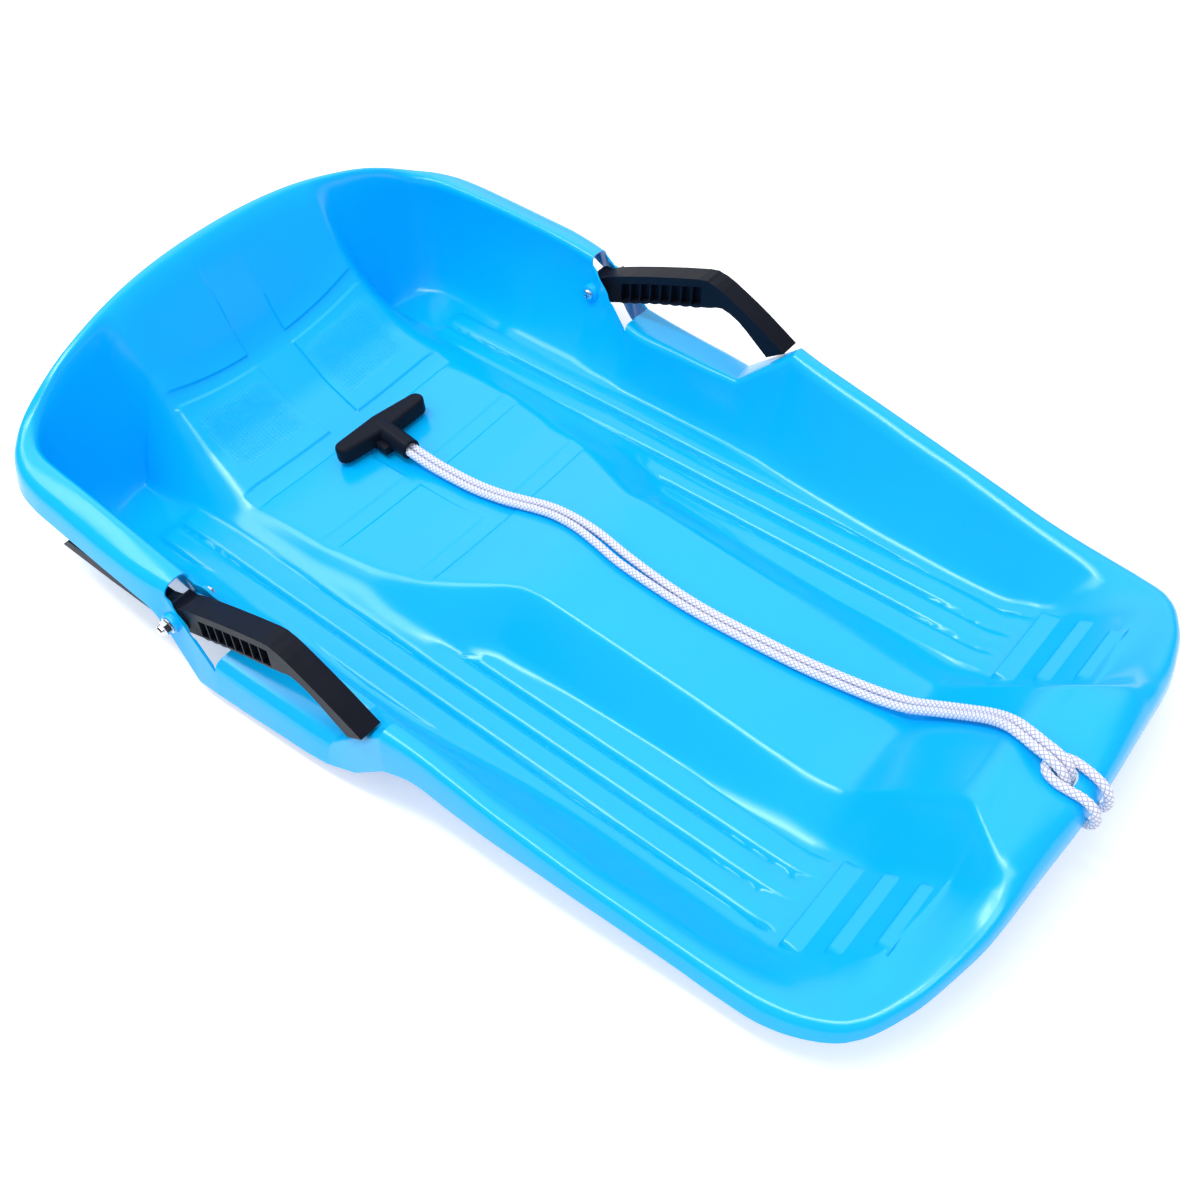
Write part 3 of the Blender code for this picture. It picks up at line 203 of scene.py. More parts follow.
# Stations: number in its run, then shares for floor (x, y), inner crest (x, y, z), outer crest
# (x, y, z) and hem (flare of the half width, drop of the height)
REAR_STATION_SHARES = (
    (0, (0.000, 0.883), (0.000, 0.951, 0.990), (0.000, 0.984, 1.000), (0.027, 0.128)),
    (5, (0.417, 0.883), (0.417, 0.939, 0.943), (0.421, 0.964, 0.954), (0.025, 0.128)),
    (7, (0.560, 0.886), (0.488, 0.935, 0.916), (0.495, 0.960, 0.926), (0.021, 0.128)),
    (12, (0.640, 0.879), (0.669, 0.923, 0.828), (0.686, 0.946, 0.826), (0.021, 0.128)),
    (17, (0.707, 0.857), (0.804, 0.897, 0.706), (0.855, 0.921, 0.696), (0.021, 0.125)),
)
SIDE_STATION_SHARES = (
    (1, (0.735, 0.826), (0.838, 0.873, 0.681), (0.909, 0.890, 0.666), (0.021, 0.122)),
    (2, (0.745, 0.787), (0.856, 0.836, 0.671), (0.945, 0.844, 0.645), (0.023, 0.118)),
    (3, (0.743, 0.743), (0.862, 0.790, 0.670), (0.960, 0.792, 0.632), (0.023, 0.115)),
    (4, (0.731, 0.694), (0.866, 0.725, 0.668), (0.965, 0.725, 0.622), (0.023, 0.111)),
    (5, (0.714, 0.644), (0.870, 0.657, 0.662), (0.970, 0.655, 0.608), (0.021, 0.108)),
    (6, (0.697, 0.582), (0.874, 0.587, 0.649), (0.973, 0.584, 0.597), (0.021, 0.108)),
    (7, (0.686, 0.506), (0.877, 0.506, 0.630), (0.973, 0.506, 0.588), (0.021, 0.128)),
    (8, (0.682, 0.449), (0.878, 0.449, 0.610), (0.965, 0.452, 0.580), (0.027, 0.162)),
    (9, (0.682, 0.418), (0.877, 0.417, 0.595), (0.957, 0.421, 0.577), (0.036, 0.277)),
    (10, (0.684, 0.364), (0.844, 0.358, 0.459), (0.971, 0.369, 0.419), (0.034, 0.345)),
    (11, (0.688, 0.306), (0.813, 0.301, 0.338), (0.981, 0.317, 0.274), (0.023, 0.189)),
    (12, (0.697, 0.262), (0.802, 0.262, 0.338), (0.976, 0.257, 0.262), (0.021, 0.182)),
    (13, (0.705, 0.169), (0.802, 0.169, 0.338), (0.967, 0.161, 0.253), (0.023, 0.155)),
    (14, (0.705, 0.086), (0.802, 0.081, 0.338), (0.960, 0.083, 0.249), (0.023, 0.142)),
    (15, (0.701, 0.010), (0.804, 0.010, 0.341), (0.954, 0.042, 0.245), (0.025, 0.128)),
    (16, (0.693, -0.039), (0.838, -0.042, 0.453), (0.943, -0.025, 0.405), (0.023, 0.216)),
    (17, (0.682, -0.091), (0.867, -0.094, 0.561), (0.930, -0.092, 0.561), (0.017, 0.223)),
    (18, (0.674, -0.138), (0.856, -0.140, 0.530), (0.918, -0.138, 0.547), (0.017, 0.182)),
    (19, (0.657, -0.221), (0.846, -0.216, 0.484), (0.910, -0.226, 0.507), (0.018, 0.169)),
    (20, (0.642, -0.299), (0.843, -0.294, 0.439), (0.905, -0.304, 0.466), (0.018, 0.149)),
    (21, (0.634, -0.377), (0.834, -0.374, 0.402), (0.898, -0.382, 0.429), (0.018, 0.122)),
    (22, (0.629, -0.468), (0.825, -0.473, 0.351), (0.888, -0.465, 0.392), (0.019, 0.105)),
    (23, (0.627, -0.558), (0.812, -0.556, 0.320), (0.874, -0.564, 0.351), (0.019, 0.095)),
    (24, (0.629, -0.636), (0.801, -0.634, 0.289), (0.863, -0.642, 0.316), (0.019, 0.088)),
    (25, (0.636, -0.714), (0.794, -0.712, 0.272), (0.855, -0.717, 0.292), (0.019, 0.088)),
    (26, (0.638, -0.782), (0.787, -0.782, 0.274), (0.845, -0.787, 0.282), (0.019, 0.081)),
    (27, (0.629, -0.834), (0.768, -0.839, 0.293), (0.823, -0.842, 0.299), (0.019, 0.074)),
    (28, (0.606, -0.865), (0.731, -0.883, 0.328), (0.783, -0.896, 0.338), (0.015, 0.068)),
)
FRONT_STATION_SHARES = (
    (15, (0.539, -0.879), (0.636, -0.922, 0.389), (0.669, -0.944, 0.395), (0.011, 0.064)),
    (12, (0.472, -0.886), (0.522, -0.939, 0.443), (0.547, -0.969, 0.443), (0.008, 0.064)),
    (10, (0.404, -0.890), (0.425, -0.948, 0.490), (0.446, -0.982, 0.480), (0.008, 0.068)),
    (7, (0.345, -0.891), (0.362, -0.951, 0.534), (0.387, -0.986, 0.510), (0.008, 0.074)),
    (5, (0.244, -0.891), (0.328, -0.952, 0.568), (0.303, -0.989, 0.534), (0.008, 0.074)),
    (0, (0.000, -0.883), (0.000, -0.958, 0.568), (0.000, -0.994, 0.547), (0.011, 0.074)),
)
# The wall's belly and soft foot from a place of the half rim on
WALL_FORMS = (
    (0, 0, 0), (7, 0.12, 0.06), (12, 0.25, 0.14), (17, 0.27, 0.14), (27, 0.2, 0.14),
    (29, 0.12, 0.14), (33, 0.06, 0.14), (35, 0.04, 0.14), (45, 0.02, 0.12), (47, 0, 0.1),
    (52, 0, 0.08), (55, 0, 0.05), (57, 0, 0),
)

# Route of the doubled rope: middle of the pair (x, y, z), half the space between its strands
ROPE_ROUTE = (
    (0.0046, 0.185, 0.0247, 0.00325), (0.0038, 0.1755, 0.0246, 0.00325),
    (0.0042, 0.165, 0.0228, 0.0033), (0.0056, 0.148, 0.0196, 0.0033),
    (0.0072, 0.115, 0.0194, 0.0033), (0.0085, 0.087, 0.0238, 0.0033),
    (0.0105, 0.065, 0.0288, 0.0034), (0.012, 0.045, 0.0341, 0.0035),
    (0.0115, 0.027, 0.0386, 0.0035), (0.0085, 0.005, 0.0433, 0.0036),
    (0.005, -0.015, 0.0452, 0.0041), (0.0015, -0.04, 0.0436, 0.0043),
    (0, -0.075, 0.0405, 0.0036), (0.0005, -0.107, 0.0378, 0.0033),
    (0.004, -0.145, 0.0348, 0.0033), (0.009, -0.182, 0.0312, 0.0033),
    (0.0145, -0.21, 0.0284, 0.0034), (0.0195, -0.236, 0.0278, 0.0035),
    (0.0205, -0.256, 0.034, 0.0034), (0.02, -0.274, 0.046, 0.0033),
    (0.0185, -0.29, 0.0582, 0.0033), (0.0142, -0.31, 0.0756, 0.0033),
    (0.0088, -0.3238, 0.0868, 0.0033), (0.004, -0.3355, 0.0918, 0.0033),
    (0.0002, -0.3455, 0.0942, 0.0033), (-0.0025, -0.3545, 0.0955, 0.0033),
    (-0.0035, -0.3625, 0.0922, 0.0033), (-0.0035, -0.3665, 0.0848, 0.0033),
    (-0.0035, -0.3668, 0.0766, 0.0033),
)

# Route of the hitch round the nose lip: from below the hole, round the lip and back
HITCH_ROUTE = (
    (-0.0068, -0.3668, 0.0762), (-0.0068, -0.3669, 0.0722), (-0.0078, -0.3698, 0.0674),
    (-0.0094, -0.3765, 0.0646), (-0.011, -0.384, 0.0648), (-0.0121, -0.3892, 0.0702),
    (-0.0126, -0.3893, 0.0776), (-0.0127, -0.3858, 0.0844), (-0.0128, -0.3792, 0.0878),
    (-0.0131, -0.3705, 0.0884), (-0.0128, -0.363, 0.0886), (-0.0098, -0.3556, 0.0889),
    (-0.0035, -0.353, 0.089), (0.0028, -0.3556, 0.0889), (0.0058, -0.363, 0.0886),
    (0.0054, -0.3705, 0.0884), (0.0038, -0.3792, 0.0878), (0.0028, -0.3858, 0.0844),
    (0.0024, -0.3893, 0.0776), (0.0022, -0.3892, 0.0702), (0.0016, -0.384, 0.0648),
    (0.001, -0.3765, 0.0646), (0.0002, -0.3698, 0.0674), (-0.0002, -0.3669, 0.0722),
    (-0.0002, -0.3668, 0.0762),
)

# Plaited rope: its mesh and the height of its yarns' ends
ROPE_RINGS_STEP = 0.0006
ROPE_SIDES = 24
ROPE_WELD = 0.000001
YARN_EDGE_SHARE = 0.55

# Noise of the materials: its detail, grains to the metre, spread of the roughness, and bumps as
# (depth in metres, strength)
COARSE = 1.0
FINE = 3.0
BLUE_CLOUDS = 26.0
BLUE_GLOSS = 90.0
BLUE_GLOSS_SPREAD = 0.05
BLUE_RIPPLE = 60.0
BLUE_RIPPLE_SHARE = 0.2
BLUE_BUMP = (0.0005, 0.6)
BLACK_CLOUDS = 45.0
BLACK_GLOSS_SPREAD = 0.10
BLACK_GRAIN = 1500.0
BLACK_BUMP = (0.00006, 0.6)
ZINC_CLOUDS = 500.0
ZINC_GLOSS_SPREAD = 0.12
ZINC_MARKS = 2400.0
ZINC_BUMP = (0.00003, 0.4)
FLOOR_ROUGHNESS = 0.9

# Grid in the lower back panels: cells to the metre, edges of a groove, soft ends across and along
GRID_SCALE = 330.0
GRID_GROOVE = (0.30, 0.48)
GRID_ENDS_X = ((0.018, 0.030), (0.094, 0.082))
GRID_ENDS_Y = ((0.262, 0.276), (0.320, 0.308))

# Yarns: whole turns added to keep their count positive, edges of the painted shade in a gap, and
# their fibres
YARN_TURNS = 64.0
YARN_GAP = (0.29, 0.45)
FIBRE_STRETCH = (9.0, 3.0, 1.0)
FIBRE_SCALE = 3.0
ROPE_ROUGHNESS = 0.8
ROPE_SHEEN = 0.25
ROPE_BUMP = (0.0001, 0.7)

# Places of the half rim: rear columns, side stations, front columns, in one run
SIDE_END = SIDE_STATION_SHARES[-1][0]
FRONT_PLACE = DECK_COLUMNS * 2 + SIDE_END
# Steps of the search for a row, space kept beside a fixed row, rows beside a strip's line
HALVINGS = 40
ROW_CLEARANCE = 0.12
STRIP_ROW_SHIFTS = (-2.2, -1, 1, 2.2)


def eased_ramp(t, reach):
    """Zero up to -reach, t from reach on, and a parabola between them."""
    if t <= -reach:
        return 0.0
    if t >= reach:
        return t
    return (t + reach) ** 2 / (4 * reach)


def eased_line(t, points):
    """Value at t of the broken line through points, with its bends eased."""
    slopes = [(after[1] - before[1]) / (after[0] - before[0])
              for before, after in zip(points, points[1:])]
    value = points[0][1] + slopes[0] * (t - points[0][0])
    for (place, _), before, after in zip(points[1:], slopes, slopes[1:]):
        value += (after - before) * eased_ramp(t - place, LINE_EASE_SHARE)
    return value


def smooth_step(t):
    """Rise smoothly from 0 to 1 as t goes from 0 to 1."""
    t = min(max(t, 0.0), 1.0)
    return t * t * (3 - 2 * t)


def smooth_between(value, low, high):
    """Rise smoothly from 0 to 1 as a value goes from low to high."""
    return smooth_step((value - low) / (high - low))


def soft_min(a, b, reach):
    """The smaller of two heights, blended where they differ by less than reach."""
    blend = max(reach - abs(a - b), 0.0) / reach
    return min(a, b) - blend * blend * reach / 4


def soft_max(a, b, reach):
    """The larger of two heights, blended where they differ by less than reach."""
    return -soft_min(-a, -b, reach)


def edge_half_width(y):
    """Half width of the seat's flat top, where its sides start to fall."""
    return eased_line(y / HALF_LENGTH, EDGE_HALF_WIDTH_SHARES) * HALF_WIDTH


def foot_half_width(y):
    """Half width of the seat's foot, where its sides meet the leg channels."""
    return eased_line(y / HALF_LENGTH, FOOT_HALF_WIDTH_SHARES) * HALF_WIDTH


def floor_height(y, sheet):
    """Height of the leg channel's upper face without its ribs."""
    return sheet + eased_line(y / HALF_LENGTH, FLOOR_RISE_SHARES) * RIM_HEIGHT


def rib_height(x, y, rise):
    """Lift of the leg channel's ribs: convex bands between narrow valleys."""
    front, rear = (share * HALF_LENGTH for share in RIB_END_SHARES)
    fade = smooth_step((y - front) / RIB_FADE) * smooth_step((rear - y) / RIB_FADE)
    place = (x - RIB_FIRST) / RIB_PITCH
    if not 0 < place < RIB_COUNT:
        return 0.0
    valley = abs(place - round(place)) * 2
    return rise * (1 - (1 - valley) ** 4) * fade


def deck_height(x, y, settings):
    """Height of the deck's upper face: seat, backrest, hump, nose and leg channels."""
    floor = floor_height(y, settings.sheet)
    middle = eased_line(y / HALF_LENGTH, MIDDLE_HEIGHT_SHARES) * RIM_HEIGHT
    edge = eased_line(y / HALF_LENGTH, EDGE_HEIGHT_SHARES) * RIM_HEIGHT
    edge_x = edge_half_width(y)
    top = middle + (edge - middle) * (x / edge_x) ** 2
    side = edge - (edge - floor) * (x - edge_x) / (foot_half_width(y) - edge_x)
    ease = EDGE_EASE + (BACK_EASE - EDGE_EASE) * smooth_between(y / HALF_LENGTH, *BACK_EASE_SHARES)
    channel = floor + rib_height(x, y, settings.rib_rise)
    return soft_max(soft_min(top, side, ease), channel, FOOT_EASE)


def strip_depth(column, y, settings):
    """How far the seat is sunk at a point: the strips between its panels."""
    lines = [(low * HALF_LENGTH, high * HALF_LENGTH) for low, high in STRIP_SHARES]
    along = column < 1 and y > lines[0][0]
    across = any(low < y < high for low, high in lines)
    if not along and not across:
        return 0.0
    deep = smooth_between(y, *DEEP_STRIP_Y)
    sink = settings.seat_strip_sink + (settings.back_strip_sink - settings.seat_strip_sink) * deep
    return sink * (1 - smooth_between(column, *STRIP_FADE_COLUMNS))


def deck_point(column, x, y, settings):
    """A point of the deck's upper face, moved along the surface's normal by the strips' depth."""
    height = deck_height(x, y, settings)
    depth = strip_depth(column, y, settings)
    if not depth:
        return Vector((x, y, height))
    step = settings.sheet * SLOPE_STEP_SHARE
    slope_x = (deck_height(x + step, y, settings) - height) / step
    slope_y = (deck_height(x, y + step, settings) - height) / step
    return Vector((x, y, height)) - Vector((-slope_x, -slope_y, 1)).normalized() * depth


def station_points(place, row):
    """Floor point, inner crest, outer crest, hem and wall form of one station, in metres."""
    _, floor, inner, outer, hem = row
    _, belly, softness = max(form for form in WALL_FORMS if form[0] <= place)
    floor = Vector((floor[0] * HALF_WIDTH, floor[1] * HALF_LENGTH, 0))
    inner = Vector((inner[0] * HALF_WIDTH, inner[1] * HALF_LENGTH, inner[2] * RIM_HEIGHT))
    outer = Vector((outer[0] * HALF_WIDTH, outer[1] * HALF_LENGTH, outer[2] * RIM_HEIGHT))
    outward = Vector((outer.x - inner.x, outer.y - inner.y, 0)).normalized()
    hem = outer + outward * hem[0] * HALF_WIDTH - Vector((0, 0, hem[1] * RIM_HEIGHT))
    return floor, inner, outer, hem, Vector((belly, softness, 0))


def rim_rows():
    """All stations of the half rim as (place, station points), in one run from the rear."""
    rows = [(row[0], row) for row in REAR_STATION_SHARES]
    rows += [(DECK_COLUMNS + row[0], row) for row in SIDE_STATION_SHARES]
    rows += [(FRONT_PLACE - row[0], row) for row in FRONT_STATION_SHARES]
    return [(place, station_points(place, row)) for place, row in rows]


def curve_point(start, end, lead, tail, t):
    """Point at a share t of the smooth curve from start to end, with its slopes there."""
    return start.lerp(end, smooth_step(t)) + lead * t * (1 - t) ** 2 - tail * t * t * (1 - t)


def heading(before, point, after):
    """Direction at a point of the smooth curve through its neighbours."""
    back = point - before
    ahead = after - point
    return (back / back.length_squared + ahead / ahead.length_squared).normalized()


def station_at(place):
    """Station points at any place of the half rim, on smooth curves or straight runs."""
    rows = RIM_ROWS
    last = max(k for k in range(len(rows) - 1) if rows[k][0] <= place)
    start, end = (points for _, points in rows[last:last + 2])
    t = (place - rows[last][0]) / (rows[last + 1][0] - rows[last][0])
    straight = [DECK_COLUMNS + k for k in STRAIGHT_STATIONS]
    if rows[last][0] in straight:
        return [a.lerp(b, t) for a, b in zip(start, end)]
    mirror = Vector(MIDDLE_PLANE)
    before = rows[last - 1][1] if last else [point * mirror for point in end]
    after = rows[last + 2][1] if last + 2 < len(rows) else [point * mirror for point in start]
    points = []
    for a, b, c, d in zip(before[:-1], start, end, after):
        chord = c - b
        lead = chord if rows[last - 1][0] in straight else heading(a, b, c) * chord.length
        tail = chord if rows[last + 1][0] in straight else heading(b, c, d) * chord.length
        points.append(curve_point(b, c, lead, tail, t))
    return points + [start[-1].lerp(end[-1], smooth_step(t))]


RIM_ROWS = rim_rows()


def side_station(place):
    """Station points at a place counted in side stations."""
    return station_at(DECK_COLUMNS + place)


def bend_of_rows(floor_y):
    """How much a row that starts at a height of the side follows the rear and the front rows."""
    rear = side_station(0)[0].y
    front = side_station(SIDE_END)[0].y
    reach = (rear - front) * ROW_BEND_SHARE
    return smooth_step(1 - (rear - floor_y) / reach), smooth_step(1 - (floor_y - front) / reach)


def middle_y(place):
    """Where the row that starts at a place of the side crosses the sled's middle."""
    floor_y = side_station(place)[0].y
    rear_bend, front_bend = bend_of_rows(floor_y)
    rear = station_at(0)[0].y - side_station(0)[0].y
    front = station_at(FRONT_PLACE)[0].y - side_station(SIDE_END)[0].y
    return floor_y + rear * rear_bend + front * front_bend


def place_of_row(y):
    """The place whose row crosses the sled's middle at y, found by halving."""
    low, high = 0.0, float(SIDE_END)
    for _ in range(HALVINGS):
        middle = (low + high) / 2
        if middle_y(middle) > y:
            low = middle
        else:
            high = middle
    return (low + high) / 2


def row_places(settings):
    """Places of the deck's rows: even steps, and rows beside each corner and each strip line."""
    places = []
    for k in range(SIDE_END):
        start, end = (side_station(place) for place in (k, k + 1))
        length = max((b - a).length for a, b in zip(start[:3], end[:3]))
        near_middle = FINE_ROWS_Y[0] < start[0].y < FINE_ROWS_Y[1]
        count = max(2, round(length / (ROW_STEP if near_middle else FINE_ROW_STEP)))
        places += [k + step / count for step in range(count)]
    places.append(float(SIDE_END))
    special = []
    for station in CORNER_STATIONS:
        crest = side_station(station)[1]
        for side in (-1, 1):
            length = (side_station(station + side / 2)[1] - crest).length * 2
            special.append(station + side * CORNER_ROW_GAP / length)
    for line in (share * HALF_LENGTH for pair in STRIP_SHARES for share in pair):
        step = settings.sheet
        rise = deck_height(0, line + step, settings) - deck_height(0, line, settings)
        wall = STRIP_WALL * step / math.hypot(step, rise)
        special += [place_of_row(line + wall * shift) for shift in STRIP_ROW_SHIFTS]
    fixed = set(range(SIDE_END + 1))
    places = [place for place in places
              if place in fixed or all(abs(place - other) > ROW_CLEARANCE for other in special)]
    return sorted(places + special)


def column_places():
    """Places of the deck's columns: seat, its side, and a close group at each rib valley."""
    places = list(SEAT_COLUMNS)
    for k in range(RIB_COUNT + 1):
        places += [FOOT_COLUMN + 1 + 2 * k + shift for shift in VALLEY_COLUMNS]
    return sorted(place for place in set(places) if place <= DECK_COLUMNS)


def column_x(i, y, side_x):
    """Half width of one deck column: seat columns, foot, rib lines, side wall."""
    groove = GROOVE_COLUMN_SHARE * HALF_WIDTH
    edge = edge_half_width(y)
    foot = foot_half_width(y)
    if i <= 1:
        return groove * i
    if i <= EDGE_COLUMN:
        return groove + (edge - groove) * (i - 1) / (EDGE_COLUMN - 1)
    if i <= FOOT_COLUMN:
        return edge + (foot - edge) * (i - EDGE_COLUMN) / (FOOT_COLUMN - EDGE_COLUMN)
    rib_line = RIB_FIRST + (i - FOOT_COLUMN - 1) * RIB_PITCH / 2
    beside_foot = foot + (i - FOOT_COLUMN) * COLUMN_GAP
    beside_wall = side_x - (DECK_COLUMNS - i) * COLUMN_GAP
    return min(max(rib_line, beside_foot), beside_wall)


def deck_rows(columns, rear, side, front, settings):
    """Points of the half deck, row by row, blended into the rear and front rows."""
    rear_row = [points[0] for points in rear] + [side[0][0]]
    front_row = [points[0] for points in front] + [side[-1][0]]
    corners = (rear_row[-1], front_row[-1])
    rows = []
    for floor, *_ in side:
        bends = bend_of_rows(floor.y)
        row = []
        for i, *ends in zip(columns, rear_row, front_row):
            y = floor.y + sum((end.y - corner.y) * bend
                              for end, corner, bend in zip(ends, corners, bends))
            x = column_x(i, y, floor.x)
            x += sum((end.x - column_x(i, end.y, corner.x)) * bend
                     for end, corner, bend in zip(ends, corners, bends))
            row.append(deck_point(i, x, y, settings))
        rows.append(row)
    return rows


def arc(before, corner, after, reaches):
    """Points of the rounded corner between two edges, from its reach along each."""
    start = corner + (before - corner).normalized() * reaches[0]
    end = corner + (after - corner).normalized() * reaches[1]
    points = []
    for k in range(ARC_STEPS + 1):
        t = k / ARC_STEPS
        points.append(start * (1 - t) ** 2 + corner * 2 * t * (1 - t) + end * t * t)
    return points


def ring_points(foot, station):
    """Points from the deck's edge up the wall, over the rounded rim and down the hem."""
    _, inner, outer, hem, form = station
    belly, softness, _ = form
    reach = min(RIM_ROUND, (outer - inner).length * RIM_ROUND_SHARE)
    roll = reach + (RIM_ROLL - reach) * smooth_between(inner.z / RIM_HEIGHT, *RIM_ROLL_HEIGHTS)
    roll = min(roll, (inner - foot).length * RIM_ROLL_SHARE)
    wall_end = 1 - min(roll * WALL_END_REACH / (inner - foot).length, WALL_END_SHARE)
    wall = []
    for k in range(1, WALL_STEPS + 1):
        t = (k / WALL_STEPS) ** WALL_STEP_POWER * wall_end
        plan = t + belly * 4 * t * (1 - t)
        rise = eased_ramp(t - softness, softness) / (1 - softness)
        wall.append(Vector((foot.x + (inner.x - foot.x) * plan, foot.y + (inner.y - foot.y) * plan,
                            foot.z + (inner.z - foot.z) * rise)))
    crown = (inner + outer) / 2 + Vector((0, 0, RIM_CROWN))
    outer_arc = arc(crown, outer, hem, (reach, reach))
    skirt = [outer_arc[-1].lerp(hem, step / HEM_STEPS) for step in range(1, HEM_STEPS + 1)]
    return wall + arc(wall[-1], inner, crown, (roll, reach)) + outer_arc + skirt


def half_shell(settings):
    """Half of the shell's upper face: the deck patch and the rings around it."""
    columns = column_places()
    places = row_places(settings)
    rear = [station_at(i) for i in columns[:-1]]
    side = [side_station(place) for place in places]
    front = [station_at(FRONT_PLACE - i) for i in columns[:-1]]
    rows = deck_rows(columns, rear, side, front, settings)
    width = len(columns)
    bm = bmesh.new()
    bmesh.ops.create_grid(bm, x_segments=width - 1, y_segments=len(rows) - 1, size=1.0)
    bm.verts.ensure_lookup_table()
    grid = [bm.verts[k * width:(k + 1) * width] for k in range(len(rows))]
    for verts, points in zip(grid, rows):
        for vert, point in zip(verts, points):
            vert.co = point
    outline = grid[0][:-1] + [row[-1] for row in grid] + grid[-1][-2::-1]
    stations = rear + side + front[::-1]
    rings = [ring_points(vert.co.copy(), station) for vert, station in zip(outline, stations)]
    open_edges = [len(rear) + k for k, place in enumerate(places)
                  if OPEN_STATIONS[0] <= place < OPEN_STATIONS[1]]
    raise_rings(bm, outline, rings, open_edges)
    bmesh.ops.recalc_face_normals(bm, faces=bm.faces)
    if sum(face.normal.z for face in bm.faces) < 0:
        bmesh.ops.reverse_faces(bm, faces=bm.faces)
    return bm


def raise_rings(bm, ring, rings, open_edges):
    """Raise the wall, rim and hem from the deck's outline, ring by ring, and open the slots."""
    steps = len(rings[0])
    slot_faces = set()
    for step in range(steps):
        edges = [bm.edges.get(pair) for pair in zip(ring, ring[1:])]
        made = bmesh.ops.extrude_edge_only(bm, edges=edges)["geom"]
        made_verts = {item for item in made if isinstance(item, bmesh.types.BMVert)}
        next_ring = [next(edge.other_vert(vert) for edge in vert.link_edges
                          if edge.other_vert(vert) in made_verts) for vert in ring]
        for vert, points in zip(next_ring, rings):
            vert.co = points[step]
        if WALL_STEPS < step < steps - HEM_STEPS:
            for k in open_edges:
                slot_faces.update(bm.edges.get((next_ring[k], next_ring[k + 1])).link_faces)
        ring = next_ring
    bmesh.ops.delete(bm, geom=list(slot_faces), context="FACES")


def new_object(name, bm, material=None):
    """Make an object of a bmesh, shaded smooth, with one material or none."""
    mesh = bpy.data.meshes.new(name)
    bm.to_mesh(mesh)
    bm.free()
    mesh.shade_smooth()
    obj = bpy.data.objects.new(name, mesh)
    bpy.context.scene.collection.objects.link(obj)
    if material:
        mesh.materials.append(material)
    return obj


def apply_modifiers(obj):
    """Replace an object's mesh by the one that its modifiers give."""
    bpy.context.view_layer.update()
    evaluated = obj.evaluated_get(bpy.context.evaluated_depsgraph_get())
    mesh = bpy.data.meshes.new_from_object(evaluated)
    old = obj.data
    obj.modifiers.clear()
    obj.data = mesh
    bpy.data.meshes.remove(old)


def add_pin(bm, side, x_range, radius, segments):
    """Add a cylinder along the brake pivot, between two distances from the sled's middle."""
    made = bmesh.ops.create_cone(bm, cap_ends=True, segments=segments, radius1=radius,
                                 radius2=radius, depth=x_range[1] - x_range[0])
    turn = Matrix.Rotation(side * math.pi / 2, 4, "Y")
    place = Matrix.Translation((side * sum(x_range) / 2, PIVOT_Y, PIVOT_Z)) @ turn
    bmesh.ops.transform(bm, matrix=place, verts=made["verts"])


def hole_cutter(settings):
    """A cutter for the bolt holes through the shell's walls and for the rope's hole."""
    cut = bmesh.new()
    bore = (INNER_BOSS_X[0] - BOSS_RADIUS, OUTER_BOSS_X[1] + BOSS_RADIUS)
    for side in (-1, 1):
        add_pin(cut, side, bore, BOLT_HOLE_RADIUS, BOLT_HOLE_SEGMENTS)
    radius = ROPE_HOLE_WIDTH / 2
    hole = bmesh.ops.create_cone(cut, cap_ends=True, segments=ROPE_HOLE_SEGMENTS, radius1=radius,
                                 radius2=radius, depth=ROPE_HOLE_DEPTH)
    size = Matrix.Diagonal((1, ROPE_HOLE_LENGTH / ROPE_HOLE_WIDTH, 1, 1))
    hole_x = ROPE_HOLE_SHARES[0] * HALF_WIDTH
    hole_y = ROPE_HOLE_SHARES[1] * HALF_LENGTH
    shift = Matrix.Translation((hole_x, hole_y, deck_height(0, hole_y, settings)))
    bmesh.ops.transform(cut, matrix=shift @ size, verts=hole["verts"])
    return cut


def make_shell_piece(settings, material):
    """The moulded shell: both halves, their sheet thickness and their holes."""
    shell = new_object("shell_moulding", half_shell(settings), material)
    mirror = shell.modifiers.new("Both halves", "MIRROR")
    mirror.merge_threshold = MERGE_DISTANCE
    solidify = shell.modifiers.new("Sheet", "SOLIDIFY")
    solidify.thickness = settings.sheet
    solidify.offset = -1
    solidify.use_even_offset = True
    solidify.thickness_clamp = 1.0
    cutter = new_object("shell_holes", hole_cutter(settings))
    boolean = shell.modifiers.new("Holes", "BOOLEAN")
    boolean.operation = "DIFFERENCE"
    boolean.object = cutter
    apply_modifiers(shell)
    bpy.data.objects.remove(cutter)
    shell.data.set_sharp_from_angle(angle=SHARP_ANGLE)
    return shell


